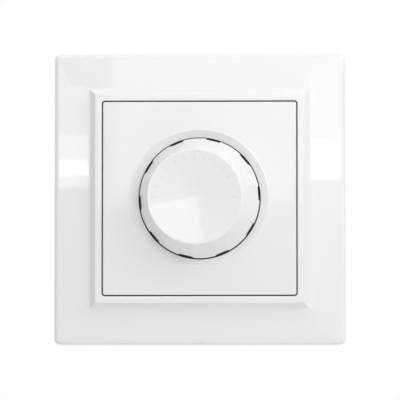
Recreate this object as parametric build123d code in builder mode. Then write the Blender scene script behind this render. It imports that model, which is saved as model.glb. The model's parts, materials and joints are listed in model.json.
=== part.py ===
from build123d import *
import os
from math import cos, hypot, radians, sin, sqrt, tan

# A flush rotary dimmer: a square cover frame, a centre plate with a sunk well, and a knob that
# turns to dim and is pressed to switch. Everything is in millimetres. The origin is on the wall,
# in the middle of the knob's axis. +Z is up, +X is to the right, and the front faces -Y.
# A height is a distance in front of the wall, so what lies inside the wall has a height below 0.

# Cover frame
frame_size = 82.0
frame_corner_radius = 1.6
frame_edge_radius = 1.2
frame_side_height = 6.0
frame_draft = 1.0
frame_wall = 2.0
face_height = 7.0
face_bulge = 0.12
bevel_foot_size = 61.4
bevel_foot_radius = 1.0
crest_size = 58.9
crest_height = 9.2
opening_size = 55.3
opening_corner_radius = 0.9
ledge_width = 1.8
ledge_height = 6.9
ledge_bottom = 4.2
frame_rib_thickness = 1.2
frame_rib_spacing = 22.0
frame_ribs_per_side = 3
frame_rib_gap = 0.3
pry_notch_width = 2.4
pry_notch_depth = 0.5
pry_notch_height = 1.4
pry_notch_place = 33.5

# Centre plate
plate_size = 54.6
plate_corner_radius = 0.6
plate_edge_radius = 0.3
plate_height = 9.3
plate_thickness = 2.0
spigot_clearance = 0.25
spigot_wall = 1.4
spigot_bottom = 4.4
well_radius = 17.33
well_wall = 1.5
well_floor_top = 4.2
well_floor_thickness = 1.6
sink_radius = 18.9
sink_depth = 2.2
bead_width = 0.7
bead_height = 0.14
plate_boss_radius = 8.0
plate_rib_thickness = 1.2

# Knob
knob_radius = 16.83
knob_rim_height = 9.4
knob_top_height = 16.8
knob_top_radius = 13.35
knob_top_offset = 1.2
knob_top_edge_radius = 0.35
knob_wall = 1.6
knob_floor_clearance = 0.3
dish_lip = 0.75
dish_slope = 8.8
dish_nose_radius = 24.0
pointer_angle = 184.5
notch_count = 10
notch_width = 3.8
notch_depth = 0.37
notch_reach = 0.75
hub_wall = 2.1
knob_rib_count = 6
knob_rib_thickness = 1.2
knob_rib_drop = 3.2
pip_radius = 0.3
pip_length = 1.0
pip_proud = 0.06
pip_height = 11.4

# Shaft and knob spring
shaft_radius = 3.0
shaft_fit = 0.03
shaft_flat = 1.5
shaft_seat_length = 4.6
shaft_tip_chamfer = 0.4
drive_radius = 2.2
drive_flat = 1.6
drive_shoulder = 0.7
press_travel = 1.5
spring_room = 0.7
spring_leaf = 0.25
spring_width = 3.2
clip_radius = 3.5
clip_thickness = 0.5
clip_gap = 0.1
groove_radius = 1.4
clip_mouth = 2.5
shaft_tail = 2.0

# Bush, nut and washer
bush_radius = 4.9
bush_fit = 0.06
bush_proud = 0.2
nut_across_flats = 14.0
nut_thickness = 2.3
nut_chamfer = 0.4
washer_radius = 7.2
washer_thickness = 0.5
washer_tooth_count = 12
washer_tooth_depth = 1.1
washer_tooth_width = 0.9

# Potentiometer, behind the mounting plate
pot_radius = 8.0
pot_wall = 0.6
pot_front = 0.8
pot_depth = 7.0
track_thickness = 0.8
track_radius = 7.2
track_hole_radius = 3.4
wiper_thickness = 0.3
wiper_gap = 0.05
wiper_inset = 1.2
rotor_radius = 6.2
rotor_thickness = 1.9
rotor_hub_radius = 3.4
rotor_hub_length = 2.0
lug_radius = 7.1
lug_spread = 29.0
stop_inner_radius = 6.5
stop_spread = 60.0
pot_pin_width = 0.9
pot_pin_thickness = 0.5
pot_pin_spacing = 5.0
pot_pin_gap = 0.2
pot_tongue_margin = 0.3

# Push switch, behind the potentiometer
switch_size = 15.0
switch_wall = 0.8
switch_hole_radius = 4.0
plunger_gap = 0.05
plunger_radius = 2.0
plunger_flange_radius = 4.0
plunger_flange_thickness = 0.8
plunger_stem_radius = 1.5
plunger_stem_clearance = 0.15
plunger_head_length = 0.9
bridge_length = 12.0
bridge_width = 4.0
bridge_thickness = 0.4
coil_radius = 2.5
coil_wire_radius = 0.22
coil_turns = 4
contact_width = 2.0
contact_thickness = 0.6
contact_gap = 0.3
contact_spacing = 11.0
contact_lip = 1.4

# Mounting plate
support_size = 70.0
support_thickness = 1.2
support_corner = 6.0
box_screw_spacing = 60.0
box_slot_length = 7.0
box_slot_width = 4.0
low_head_height = 1.0
screw_hole_clearance = 0.15

# Spreading claws
pin_place = 23.0
pin_depth = 3.0
pin_radius = 0.9
pin_fit = 0.05
pin_overhang = 0.1
ear_radius = 2.0
ear_thickness = 1.2
ear_gap = 0.2
claw_arm_gap = 0.3
claw_arm_thickness = 1.0
claw_screw_offset = 1.0
claw_screw_radius = 1.25
claw_screw_head_radius = 2.3
claw_screw_head_height = 1.8
screw_slot_width = 0.8
screw_slot_depth = 0.5
screw_slot_turn = 35.0
claw_screw_length = 23.4
claw_nut_width = 3.8
claw_nut_height = 6.2
claw_nut_depth = 4.0
claw_nut_rest = 18.0
claw_nut_travel = 6.0
claw_swing = 20.0
peg_radius = 1.0
peg_clearance = 0.2
arm_margin = 0.9
tooth_plate_offset = 3.2
tooth_plate_thickness = 1.0
tooth_plate_top = 12.5
tooth_plate_end = 21.0
tooth_count = 4
tooth_size = 0.6

# Rear housing and circuit board
housing_width = 35.0
housing_tall = 50.0
housing_radius = 27.0
housing_depth = 26.0
housing_wall = 1.5
board_front = 16.0
board_thickness = 1.6
board_clearance = 0.3
board_notch_clearance = 0.6
post_radius = 3.4
boss_radius = 2.4
boss_place = (13.0, 18.0)
housing_screw_radius = 1.2
housing_screw_head_radius = 2.2
housing_screw_length = 10.0
vent_count = 3
vent_width = 1.6
vent_length = 10.0
vent_pitch = 3.0
vent_first = 5.0

# Terminals
terminal_pitch = 6.0
terminal_count = 3
block_tall = 8.0
block_centre = 18.7
block_side_wall = 0.9
cage_width = 4.6
cage_tall = 5.0
cage_tail = 0.8
cage_wall = 0.8
cage_clearance = 0.1
wire_hole_radius = 1.7
terminal_screw_radius = 1.0
terminal_screw_head_radius = 1.5
terminal_screw_head_height = 1.2
terminal_screw_length = 2.4

# Parts on the circuit board
choke_place = -16.2
choke_outer_radius = 6.0
choke_inner_radius = 3.1
choke_height = 5.0
winding_thickness = 0.6
winding_angle = 310.0
winding_groove_count = 24
winding_groove = 0.5
triac_width = 10.0
triac_body_length = 7.8
triac_body_thickness = 4.2
triac_tab_length = 5.8
triac_tab_thickness = 1.3
triac_bottom = 9.4
triac_pad_thickness = 0.5
triac_pad_margin = 0.4
triac_screw_radius = 1.45
triac_screw_head_radius = 2.6
triac_nut_across_flats = 5.0
triac_nut_thickness = 1.8
triac_lead_width = 0.8
triac_lead_thickness = 0.5
triac_lead_pitch = 2.54
triac_lead_run = 0.8
capacitor_place = (-12.8, 0.6)
capacitor_size = (4.6, 13.0, 10.0)
timing_place = (-12.2, -11.6)
timing_size = (3.0, 6.0, 7.0)
capacitor_corner = 0.6
fuse_place = 12.6
fuse_height = 9.6
fuse_length = 20.0
fuse_radius = 2.5
fuse_cap_radius = 2.65
fuse_cap_length = 5.0
fuse_clip_thickness = 0.4
fuse_clip_width = 4.0
fuse_clip_wrap_angle = 250.0
resistor_radius = 1.1
resistor_length = 6.0
resistor_lead_radius = 0.3
resistor_lead_span = 9.0
resistor_count = 3
resistor_pitch = 3.0
resistor_first = 12.2
diac_radius = 0.9
diac_length = 3.8
diac_lead_span = 6.0
diac_place = 21.0
lead_bend = 0.6
fuse_glass_wall = 0.5
fuse_wire_radius = 0.2
fuse_cap_end = 0.3
fuse_clip_stem = 2.0

# Sizes that follow from those above
support_front = support_thickness
well_floor_bottom = well_floor_top - well_floor_thickness
plate_underside = plate_height - plate_thickness
sink_bottom = plate_height - sink_depth
ledge_opening = opening_size - 2 * ledge_width
spigot_size = ledge_opening - 2 * spigot_clearance
washer_top = well_floor_top + washer_thickness
nut_top = washer_top + nut_thickness
bush_top = nut_top + bush_proud
skirt_bottom = well_floor_top + press_travel + knob_floor_clearance
hub_bottom = bush_top + press_travel + knob_floor_clearance
shaft_top = hub_bottom + shaft_seat_length
hub_radius = shaft_radius + shaft_fit + hub_wall
dish_radius = knob_top_radius - dish_lip
dish_depth = (
    dish_nose_radius * (1 - cos(radians(dish_slope)))
    + (dish_radius - dish_nose_radius * sin(radians(dish_slope))) * tan(radians(dish_slope))
)
cavity_top = knob_top_height - dish_depth - knob_wall
track_back = -pot_front - track_thickness
wiper_front = track_back - wiper_gap
rotor_front = wiper_front - wiper_thickness
rotor_back = rotor_front - rotor_thickness
rotor_hub_back = rotor_back - rotor_hub_length
clip_front = rotor_hub_back - clip_gap
shaft_end = clip_front - clip_thickness - shaft_tail
switch_front = -pot_depth
board_back = -board_front - board_thickness
tongue_width = 2 * pot_pin_spacing + 2 * pot_pin_width
tongue_end = pot_radius + pot_pin_gap + pot_pin_thickness
switch_inside = -board_front + switch_wall
plunger_front = shaft_end - plunger_gap
flange_front = plunger_front - plunger_head_length
flange_back = flange_front - plunger_flange_thickness
bridge_back = flange_back - bridge_thickness
housing_floor = -housing_depth + housing_wall
cage_length = board_back - housing_floor - 2 * cage_clearance - cage_tail

os.makedirs("parts", exist_ok=True)

# Across the object and out from the wall: local x is +X, local y is the height
across = Plane(origin=(0, 0, 0), x_dir=(1, 0, 0), z_dir=(0, 0, -1))
# Up the object and out from the wall: local x is +Z, local y is the height
upright = Plane(origin=(0, 0, 0), x_dir=(0, 0, 1), z_dir=(1, 0, 0))


def front(height):
    """Plane parallel to the wall at this height, facing the room: local x is +X, local y is +Z."""
    return Plane.XZ.offset(height)


def level(place):
    """Plane across the object at this place along Z, facing down: local x is +X, local y the height."""
    return across.offset(-place)


def turned(height):
    """The same plane turned with the knob, so that local x points at the pointer."""
    turn = radians(pointer_angle)
    return Plane(origin=(0, -height, 0), x_dir=(cos(turn), 0, sin(turn)), z_dir=(0, -1, 0))


def radial(angle):
    """Plane through the knob's axis: local x points outwards at this angle, local y is the height."""
    turn = radians(angle)
    return Plane(origin=(0, 0, 0), x_dir=(cos(turn), 0, sin(turn)), z_dir=(sin(turn), 0, -cos(turn)))


def finish(builder, name):
    """Label a finished piece and write it out under its name."""
    builder.part.label = name
    export_step(builder.part, f"parts/{name}.step")


def double_d(radius, flat):
    """A round section with two flats, for a shaft that slides and still drives."""
    with BuildSketch() as section:
        Circle(radius)
        Rectangle(2 * flat, 2 * radius, mode=Mode.INTERSECT)
    return section.sketch


def single_d(radius, flat):
    """A round section with one flat, on the side of local +x."""
    with BuildSketch() as section:
        Circle(radius)
        with Locations((flat, 0)):
            Rectangle(radius, 2 * radius, align=(Align.MIN, Align.CENTER), mode=Mode.SUBTRACT)
    return section.sketch


def ring_sector(inner, outer, middle, spread):
    """Part of a flat ring, this many degrees wide about its middle angle."""
    start = middle - spread / 2
    with BuildSketch() as sector:
        with BuildLine():
            rim = CenterArc((0, 0), outer, start, spread)
            bore = CenterArc((0, 0), inner, start, spread)
            Line(rim @ 0, bore @ 0)
            Line(rim @ 1, bore @ 1)
        make_face()
    return sector.sketch


def knob_surface(angle, reach):
    """Distance from the axis to the knob's slanted side, at this angle and share of its height."""
    radius = knob_radius + reach * (knob_top_radius - knob_radius)
    shift = -reach * knob_top_offset
    turn = radians(angle)
    return shift * cos(turn) + sqrt(radius**2 - (shift * sin(turn)) ** 2)


# Cover frame: one section serves both ways across, so the bevels meet in mitred corners
frame_half = frame_size / 2
shoulder_half = frame_half - frame_side_height * tan(radians(frame_draft))


def frame_section(inset, lift):
    """Section across the frame, moved inwards by the inset and towards the wall by the lift."""
    shoulder = (shoulder_half - inset, frame_side_height - lift)
    foot = (bevel_foot_size / 2 - inset, face_height - lift)
    crown = ((shoulder[0] + foot[0]) / 2, (shoulder[1] + foot[1]) / 2 + face_bulge)
    crest = (crest_size / 2 - inset, crest_height - lift)
    with BuildSketch() as section:
        with BuildLine():
            Polyline((0, 0), (frame_half - inset, 0), shoulder)
            ThreePointArc(shoulder, crown, foot)
            Polyline(foot, crest, (0, crest[1]))
            mirror(about=Plane.YZ)
        make_face()
        for point, radius in ((foot, bevel_foot_radius), (shoulder, frame_edge_radius)):
            corners = [v for v in section.vertices() if hypot(abs(v.X) - point[0], v.Y - point[1]) < 0.01]
            fillet(corners, radius)
    return section.sketch


def mitred(section):
    """The solid that shows the same section from below and from the side."""
    with BuildPart() as form:
        with BuildSketch(across):
            add(section)
        extrude(amount=frame_half, both=True)
        with BuildSketch(upright):
            add(section)
        extrude(amount=frame_half, both=True, mode=Mode.INTERSECT)
    return form.part


frame_outside = mitred(frame_section(0, 0))
frame_inside = mitred(frame_section(frame_wall, frame_wall))

with BuildPart() as frame_hollow:
    add(frame_inside)
    core_size = ledge_opening + 2 * frame_wall
    with BuildSketch(front(0)):
        Rectangle(core_size, core_size)
    extrude(amount=crest_height, mode=Mode.SUBTRACT)

with BuildPart() as outer_frame:
    add(frame_outside)
    with BuildSketch(front(0)):
        RectangleRounded(frame_size, frame_size, frame_corner_radius)
    extrude(amount=crest_height, mode=Mode.INTERSECT)
    add(frame_hollow.part, mode=Mode.SUBTRACT)
    with BuildSketch(front(0)):
        Rectangle(core_size, core_size)
    extrude(amount=ledge_bottom, mode=Mode.SUBTRACT)
    with BuildSketch(front(0)):
        RectangleRounded(ledge_opening, ledge_opening, opening_corner_radius)
    extrude(amount=crest_height, mode=Mode.SUBTRACT)
    with BuildSketch(front(ledge_height)):
        RectangleRounded(opening_size, opening_size, opening_corner_radius)
    extrude(amount=crest_height - ledge_height, mode=Mode.SUBTRACT)
    rib_bottom = support_front + frame_rib_gap
    with BuildSketch(front(rib_bottom)):
        for side in range(4):
            for index in range(frame_ribs_per_side):
                along = (index - (frame_ribs_per_side - 1) / 2) * frame_rib_spacing
                out = (core_size + frame_size) / 4
                turn = radians(90 * side)
                with Locations((out * cos(turn) - along * sin(turn), out * sin(turn) + along * cos(turn))):
                    Rectangle(
                        (frame_size - core_size) / 2 - frame_wall,
                        frame_rib_thickness,
                        rotation=90 * side,
                    )
    extrude(amount=frame_side_height - frame_wall / 2 - rib_bottom)
    with BuildSketch(front(0)):
        with GridLocations(frame_size, 0, 2, 1):
            with Locations((0, pry_notch_place)):
                Rectangle(2 * pry_notch_depth, pry_notch_width)
    extrude(amount=pry_notch_height, mode=Mode.SUBTRACT)
finish(outer_frame, "outer_frame")

# Centre plate: a face that drops onto the frame's ledge, a spigot inside it, and the knob's well
with BuildPart() as centre_plate:
    with BuildSketch(front(ledge_height)):
        RectangleRounded(plate_size, plate_size, plate_corner_radius)
    extrude(amount=plate_height - ledge_height)
    rim = centre_plate.edges().filter_by_position(Axis.Y, -plate_height - 0.01, -plate_height + 0.01)
    fillet(rim, plate_edge_radius)
    with BuildSketch(front(spigot_bottom)):
        RectangleRounded(spigot_size, spigot_size, plate_corner_radius)
    extrude(amount=ledge_height - spigot_bottom)
    spigot_inside = spigot_size - 2 * spigot_wall
    with BuildSketch(front(spigot_bottom)):
        Rectangle(spigot_inside, spigot_inside)
    extrude(amount=plate_underside - spigot_bottom, mode=Mode.SUBTRACT)
    with BuildSketch(front(spigot_bottom)):
        for eighth in range(4):
            Rectangle(2 * plate_size, plate_rib_thickness, rotation=45 * eighth)
        Rectangle(spigot_inside, spigot_inside, mode=Mode.INTERSECT)
    extrude(amount=plate_underside - spigot_bottom)
    with BuildSketch(front(well_floor_bottom)):
        Circle(well_radius + well_wall)
    extrude(amount=plate_underside - well_floor_bottom)
    with BuildSketch(front(support_front)):
        Circle(plate_boss_radius)
    extrude(amount=well_floor_bottom - support_front)
    with BuildSketch(across):
        with BuildLine():
            bead_middle = (sink_radius + bead_width / 2, plate_height + bead_height)
            ThreePointArc((sink_radius, plate_height), bead_middle, (sink_radius + bead_width, plate_height))
            Line((sink_radius + bead_width, plate_height), (sink_radius, plate_height))
        make_face()
    revolve(axis=Axis.Y)
    with BuildSketch(across):
        Polygon(
            (0, well_floor_top),
            (well_radius, well_floor_top),
            (well_radius, sink_bottom),
            (sink_radius, plate_height),
            (0, plate_height),
            align=None,
        )
    revolve(axis=Axis.Y, mode=Mode.SUBTRACT)
    with Locations(front(well_floor_top)):
        Hole(bush_radius + bush_fit)
finish(centre_plate, "centre_plate")

# Knob: an oblique cone with finger notches that run out up its side, and a shallow dish on top
with BuildPart() as knob:
    with BuildSketch(front(skirt_bottom)):
        Circle(knob_radius)
    extrude(amount=knob_rim_height - skirt_bottom)
    with BuildSketch(front(knob_rim_height)):
        Circle(knob_radius)
    with BuildSketch(front(knob_top_height)):
        with Locations((-knob_top_offset, 0)):
            Circle(knob_top_radius)
    loft()
    for index in range(notch_count):
        angle = pointer_angle + index * 360 / notch_count
        notch_top = knob_rim_height + notch_reach * (knob_top_height - knob_rim_height)
        surface = knob_surface(angle, notch_reach)
        floor = knob_radius - notch_depth
        with BuildSketch(radial(angle)):
            Polygon(
                (floor, skirt_bottom),
                (floor, knob_rim_height),
                (surface, notch_top),
                (knob_radius + notch_width, notch_top),
                (knob_radius + notch_width, skirt_bottom),
                align=None,
            )
        extrude(amount=notch_width / 2, both=True, mode=Mode.SUBTRACT)
    top_edge = knob.edges().filter_by_position(Axis.Y, -knob_top_height - 0.01, -knob_top_height + 0.01)
    fillet(top_edge, knob_top_edge_radius)
    dish_axis = Plane(origin=(-knob_top_offset, 0, 0), x_dir=(1, 0, 0), z_dir=(0, 0, -1))
    with BuildSketch(dish_axis):
        with BuildLine():
            bottom = (0, knob_top_height - dish_depth)
            slope = radians(dish_slope)
            nose = (
                dish_nose_radius * sin(slope),
                bottom[1] + dish_nose_radius * (1 - cos(slope)),
            )
            nose_middle = (
                dish_nose_radius * sin(slope / 2),
                bottom[1] + dish_nose_radius * (1 - cos(slope / 2)),
            )
            ThreePointArc(bottom, nose_middle, nose)
            Polyline(nose, (dish_radius, knob_top_height), (0, knob_top_height), bottom)
        make_face()
    revolve(axis=Axis((-knob_top_offset, 0, 0), (0, 1, 0)), mode=Mode.SUBTRACT)
    with BuildSketch(front(skirt_bottom)):
        Circle(knob_radius - knob_wall)
    extrude(amount=knob_rim_height - skirt_bottom, mode=Mode.SUBTRACT)
    cavity_reach = (cavity_top - knob_rim_height) / (knob_top_height - knob_rim_height)
    with BuildSketch(front(knob_rim_height)):
        Circle(knob_radius - knob_wall)
    with BuildSketch(front(cavity_top)):
        with Locations((-cavity_reach * knob_top_offset, 0)):
            Circle(knob_radius + cavity_reach * (knob_top_radius - knob_radius) - knob_wall)
    loft(mode=Mode.SUBTRACT)
    with BuildSketch(front(hub_bottom)):
        Circle(hub_radius)
    extrude(amount=cavity_top - hub_bottom)
    with BuildSketch(front(cavity_top - knob_rib_drop)):
        for index in range(knob_rib_count // 2):
            Rectangle(2 * knob_radius, knob_rib_thickness, rotation=180 * index / (knob_rib_count // 2))
        Circle(knob_surface(0, cavity_reach) - notch_depth / 2, mode=Mode.INTERSECT)
    extrude(amount=knob_rib_drop)
    with BuildSketch(turned(hub_bottom)):
        add(single_d(shaft_radius + shaft_fit, shaft_flat + spring_room))
    extrude(amount=shaft_top + knob_floor_clearance - hub_bottom, mode=Mode.SUBTRACT)
    pip_reach = (pip_height - knob_rim_height) / (knob_top_height - knob_rim_height)
    notch_floor = (knob_radius - notch_depth) + pip_reach / notch_reach * (
        knob_surface(pointer_angle, notch_reach) - (knob_radius - notch_depth)
    )
    pip_seat = notch_floor - pip_length + pip_proud
    pip_plane = Plane(
        origin=radial(pointer_angle).from_local_coords((pip_seat, pip_height, 0)),
        z_dir=radial(pointer_angle).x_dir,
    )
    with BuildSketch(pip_plane):
        Circle(pip_radius)
    extrude(amount=2 * pip_length, mode=Mode.SUBTRACT)
finish(knob, "knob")

# White pip, pressed into its hole in the pointer's notch
with BuildPart() as pointer_pip:
    with BuildSketch(pip_plane):
        Circle(pip_radius)
    extrude(amount=pip_length)
finish(pointer_pip, "pointer_pip")

# Bowed leaf between the shaft's flat and the hub, which holds the knob on
with BuildPart() as knob_spring:
    leaf_low = hub_bottom + knob_floor_clearance
    leaf_high = shaft_top - knob_floor_clearance
    leaf_out = shaft_flat + spring_room
    with BuildSketch(radial(pointer_angle)):
        with BuildLine():
            inner_low = (leaf_out - spring_leaf, leaf_low)
            inner_high = (leaf_out - spring_leaf, leaf_high)
            leaf_middle = (leaf_low + leaf_high) / 2
            ThreePointArc(inner_low, (shaft_flat, leaf_middle), inner_high)
            Line(inner_high, (leaf_out, leaf_high))
            outer_middle = (shaft_flat + spring_leaf, leaf_middle)
            ThreePointArc((leaf_out, leaf_high), outer_middle, (leaf_out, leaf_low))
            Line((leaf_out, leaf_low), inner_low)
        make_face()
    extrude(amount=spring_width / 2, both=True)
finish(knob_spring, "knob_spring")

# Shaft: a round journal with a flat for the knob, and a two-flat tail that slides in the rotor
with BuildPart() as shaft:
    with BuildSketch(front(drive_shoulder)):
        Circle(shaft_radius)
    extrude(amount=shaft_top - drive_shoulder)
    chamfer(shaft.faces().sort_by(Axis.Y)[0].edges(), shaft_tip_chamfer)
    with BuildSketch(turned(hub_bottom)):
        with Locations((shaft_flat, 0)):
            Rectangle(2 * shaft_radius, 2 * shaft_radius, align=(Align.MIN, Align.CENTER))
    extrude(amount=shaft_top - hub_bottom, mode=Mode.SUBTRACT)
    with BuildSketch(turned(shaft_end)):
        add(double_d(drive_radius, drive_flat))
    extrude(amount=drive_shoulder - shaft_end)
    with BuildSketch(front(clip_front - clip_thickness)):
        Circle(2 * drive_radius)
        Circle(groove_radius, mode=Mode.SUBTRACT)
    extrude(amount=clip_thickness, mode=Mode.SUBTRACT)
finish(shaft, "shaft")

# Open clip in the shaft's groove, which stops it from being pulled out through the rotor
with BuildPart() as shaft_clip:
    with BuildSketch(front(clip_front - clip_thickness)):
        Circle(clip_radius)
        Circle(groove_radius, mode=Mode.SUBTRACT)
        with Locations((0, clip_radius)):
            Rectangle(clip_mouth, 2 * clip_radius, mode=Mode.SUBTRACT)
    extrude(amount=clip_thickness)
finish(shaft_clip, "shaft_clip")

# Threaded bush of the potentiometer, and what clamps the centre plate on it
with BuildPart() as pot_bush:
    with BuildSketch(front(-pot_front)):
        Circle(bush_radius)
        Circle(shaft_radius + shaft_fit, mode=Mode.SUBTRACT)
    extrude(amount=bush_top + pot_front)
    tip_edges = pot_bush.faces().sort_by(Axis.Y)[0].edges().sort_by(SortBy.LENGTH)
    chamfer(tip_edges[-1], nut_chamfer)
finish(pot_bush, "pot_bush")

with BuildPart() as plate_washer:
    with BuildSketch(front(well_floor_top)):
        Circle(washer_radius)
        Circle(bush_radius + bush_fit, mode=Mode.SUBTRACT)
        with PolarLocations(washer_radius, washer_tooth_count):
            Rectangle(2 * washer_tooth_depth, washer_tooth_width, mode=Mode.SUBTRACT)
    extrude(amount=washer_thickness)
finish(plate_washer, "plate_washer")

with BuildPart() as plate_nut:
    with BuildSketch(front(washer_top)):
        RegularPolygon(nut_across_flats / 2, 6, major_radius=False)
        Circle(bush_radius + bush_fit, mode=Mode.SUBTRACT)
    extrude(amount=nut_thickness)
    with BuildSketch(across):
        nut_corner = nut_across_flats / 2 / cos(radians(30))
        Polygon(
            (nut_across_flats / 2 - nut_chamfer / 2, nut_top),
            (nut_corner + nut_chamfer, nut_top),
            (nut_corner + nut_chamfer, nut_top - nut_chamfer * 2),
            align=None,
        )
    revolve(axis=Axis.Y, mode=Mode.SUBTRACT)
finish(plate_nut, "plate_nut")

# Potentiometer: a can with an inward stop, a track, and a rotor whose lug meets the stop
pot_inside = pot_radius - pot_wall
with BuildPart() as pot_case:
    with BuildSketch(front(-pot_depth)):
        Circle(pot_radius)
        Circle(pot_inside, mode=Mode.SUBTRACT)
    extrude(amount=pot_depth)
    with BuildSketch(front(-pot_front)):
        Circle(pot_radius)
        Circle(bush_radius, mode=Mode.SUBTRACT)
    extrude(amount=pot_front)
    with BuildSketch(front(rotor_back)):
        add(ring_sector(stop_inner_radius, pot_inside + pot_wall / 2, -90, stop_spread))
    extrude(amount=track_back - rotor_back)
    with BuildSketch(front(track_back)):
        with Locations((0, -pot_radius)):
            Rectangle(tongue_width + 2 * pot_tongue_margin, pot_radius, mode=Mode.ADD)
        Circle(track_radius, mode=Mode.SUBTRACT)
    extrude(amount=track_thickness, mode=Mode.SUBTRACT)
finish(pot_case, "pot_case")

with BuildPart() as pot_track:
    with BuildSketch(front(track_back)):
        Circle(track_radius)
        with Locations((0, -tongue_end)):
            Rectangle(tongue_width, tongue_end, align=(Align.CENTER, Align.MIN))
        Circle(track_hole_radius, mode=Mode.SUBTRACT)
    extrude(amount=track_thickness)
finish(pot_track, "pot_track")

with BuildPart() as pot_pins:
    with BuildSketch(front(-board_front)):
        with Locations((0, -tongue_end)):
            with GridLocations(pot_pin_spacing, 0, 3, 1):
                Rectangle(pot_pin_width, pot_pin_thickness, align=(Align.CENTER, Align.MIN))
    extrude(amount=board_front + track_back)
finish(pot_pins, "pot_pins")

with BuildPart() as pot_rotor:
    with BuildSketch(front(rotor_back)):
        Circle(rotor_radius)
        add(ring_sector(rotor_hub_radius, lug_radius, pointer_angle, lug_spread))
    extrude(amount=rotor_thickness)
    with BuildSketch(front(rotor_hub_back)):
        Circle(rotor_hub_radius)
    extrude(amount=rotor_hub_length)
    with BuildSketch(turned(rotor_hub_back)):
        add(double_d(drive_radius + shaft_fit, drive_flat + shaft_fit))
    extrude(amount=rotor_front - rotor_hub_back, mode=Mode.SUBTRACT)
finish(pot_rotor, "pot_rotor")

with BuildPart() as pot_wiper:
    wiper_ring = (drive_radius + shaft_radius) / 2
    with BuildSketch(front(rotor_front)):
        Circle(rotor_hub_radius + wiper_thickness)
        Circle(wiper_ring, mode=Mode.SUBTRACT)
        arm_reach = rotor_radius - wiper_inset
        for side in (0, 180):
            add(ring_sector(rotor_hub_radius, arm_reach, pointer_angle + side, lug_spread))
    extrude(amount=wiper_thickness)
finish(pot_wiper, "pot_wiper")

# Push switch: the shaft's end pushes the plunger, and its bridge meets two contacts
with BuildPart() as switch_case:
    with BuildSketch(front(-board_front)):
        RectangleRounded(switch_size, switch_size, switch_wall)
    extrude(amount=board_front + switch_front)
    switch_room = switch_size - 2 * switch_wall
    with BuildSketch(front(switch_inside)):
        Rectangle(switch_room, switch_room)
    extrude(amount=switch_front - switch_wall - switch_inside, mode=Mode.SUBTRACT)
    with BuildSketch(front(switch_front - switch_wall)):
        Circle(switch_hole_radius)
    extrude(amount=switch_wall, mode=Mode.SUBTRACT)
    with BuildSketch(front(-board_front)):
        Circle(plunger_stem_radius + plunger_stem_clearance)
        with GridLocations(contact_spacing, 0, 2, 1):
            Rectangle(contact_thickness, contact_width)
    extrude(amount=switch_wall, mode=Mode.SUBTRACT)
finish(switch_case, "switch_case")

with BuildPart() as switch_plunger:
    stem_end = -board_front + press_travel + plunger_stem_clearance
    with BuildSketch(front(stem_end)):
        Circle(plunger_stem_radius)
    extrude(amount=flange_back - stem_end)
    with BuildSketch(front(flange_back)):
        Circle(plunger_flange_radius)
    extrude(amount=plunger_flange_thickness)
    with BuildSketch(front(flange_front)):
        Circle(plunger_radius)
    extrude(amount=plunger_head_length)
finish(switch_plunger, "switch_plunger")

with BuildPart() as switch_bridge:
    with BuildSketch(front(bridge_back)):
        Rectangle(bridge_length, bridge_width)
        Circle(plunger_stem_radius + shaft_fit, mode=Mode.SUBTRACT)
    extrude(amount=bridge_thickness)
finish(switch_bridge, "switch_bridge")

with BuildPart() as switch_contacts:
    contact_top = bridge_back - press_travel - contact_gap
    for side in (-1, 1):
        blade = side * contact_spacing / 2
        lip_align = Align.MAX if side > 0 else Align.MIN
        with BuildSketch(front(-board_front)):
            with Locations((blade, 0)):
                Rectangle(contact_thickness, contact_width)
        extrude(amount=board_front + contact_top)
        with BuildSketch(front(contact_top - contact_thickness / 2)):
            with Locations((blade, 0)):
                Rectangle(contact_lip, contact_width, align=(lip_align, Align.CENTER))
        extrude(amount=contact_thickness / 2)
finish(switch_contacts, "switch_contacts")

with BuildPart() as switch_spring:
    coil_low = switch_inside + coil_wire_radius
    coil_high = bridge_back - coil_wire_radius
    with BuildLine() as coil:
        Helix(
            pitch=(coil_high - coil_low) / coil_turns,
            height=coil_high - coil_low,
            radius=coil_radius,
            center=(0, -coil_low, 0),
            direction=(0, -1, 0),
        )
    with BuildSketch(Plane(origin=coil.line @ 0, z_dir=coil.line % 0)):
        Circle(coil_wire_radius)
    sweep(is_frenet=True)
finish(switch_spring, "switch_spring")

# Mounting plate: sheet steel, slotted for the wall box, with ears folded back out of windows
arm_inside = claw_nut_height / 2 + claw_arm_gap
arm_outside = arm_inside + claw_arm_thickness
ear_inside = arm_outside + ear_gap
ear_outside = ear_inside + ear_thickness
claw_screw_place = pin_place + claw_screw_offset
triac_hole_place = triac_bottom + triac_body_length + triac_tab_length / 2

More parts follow.
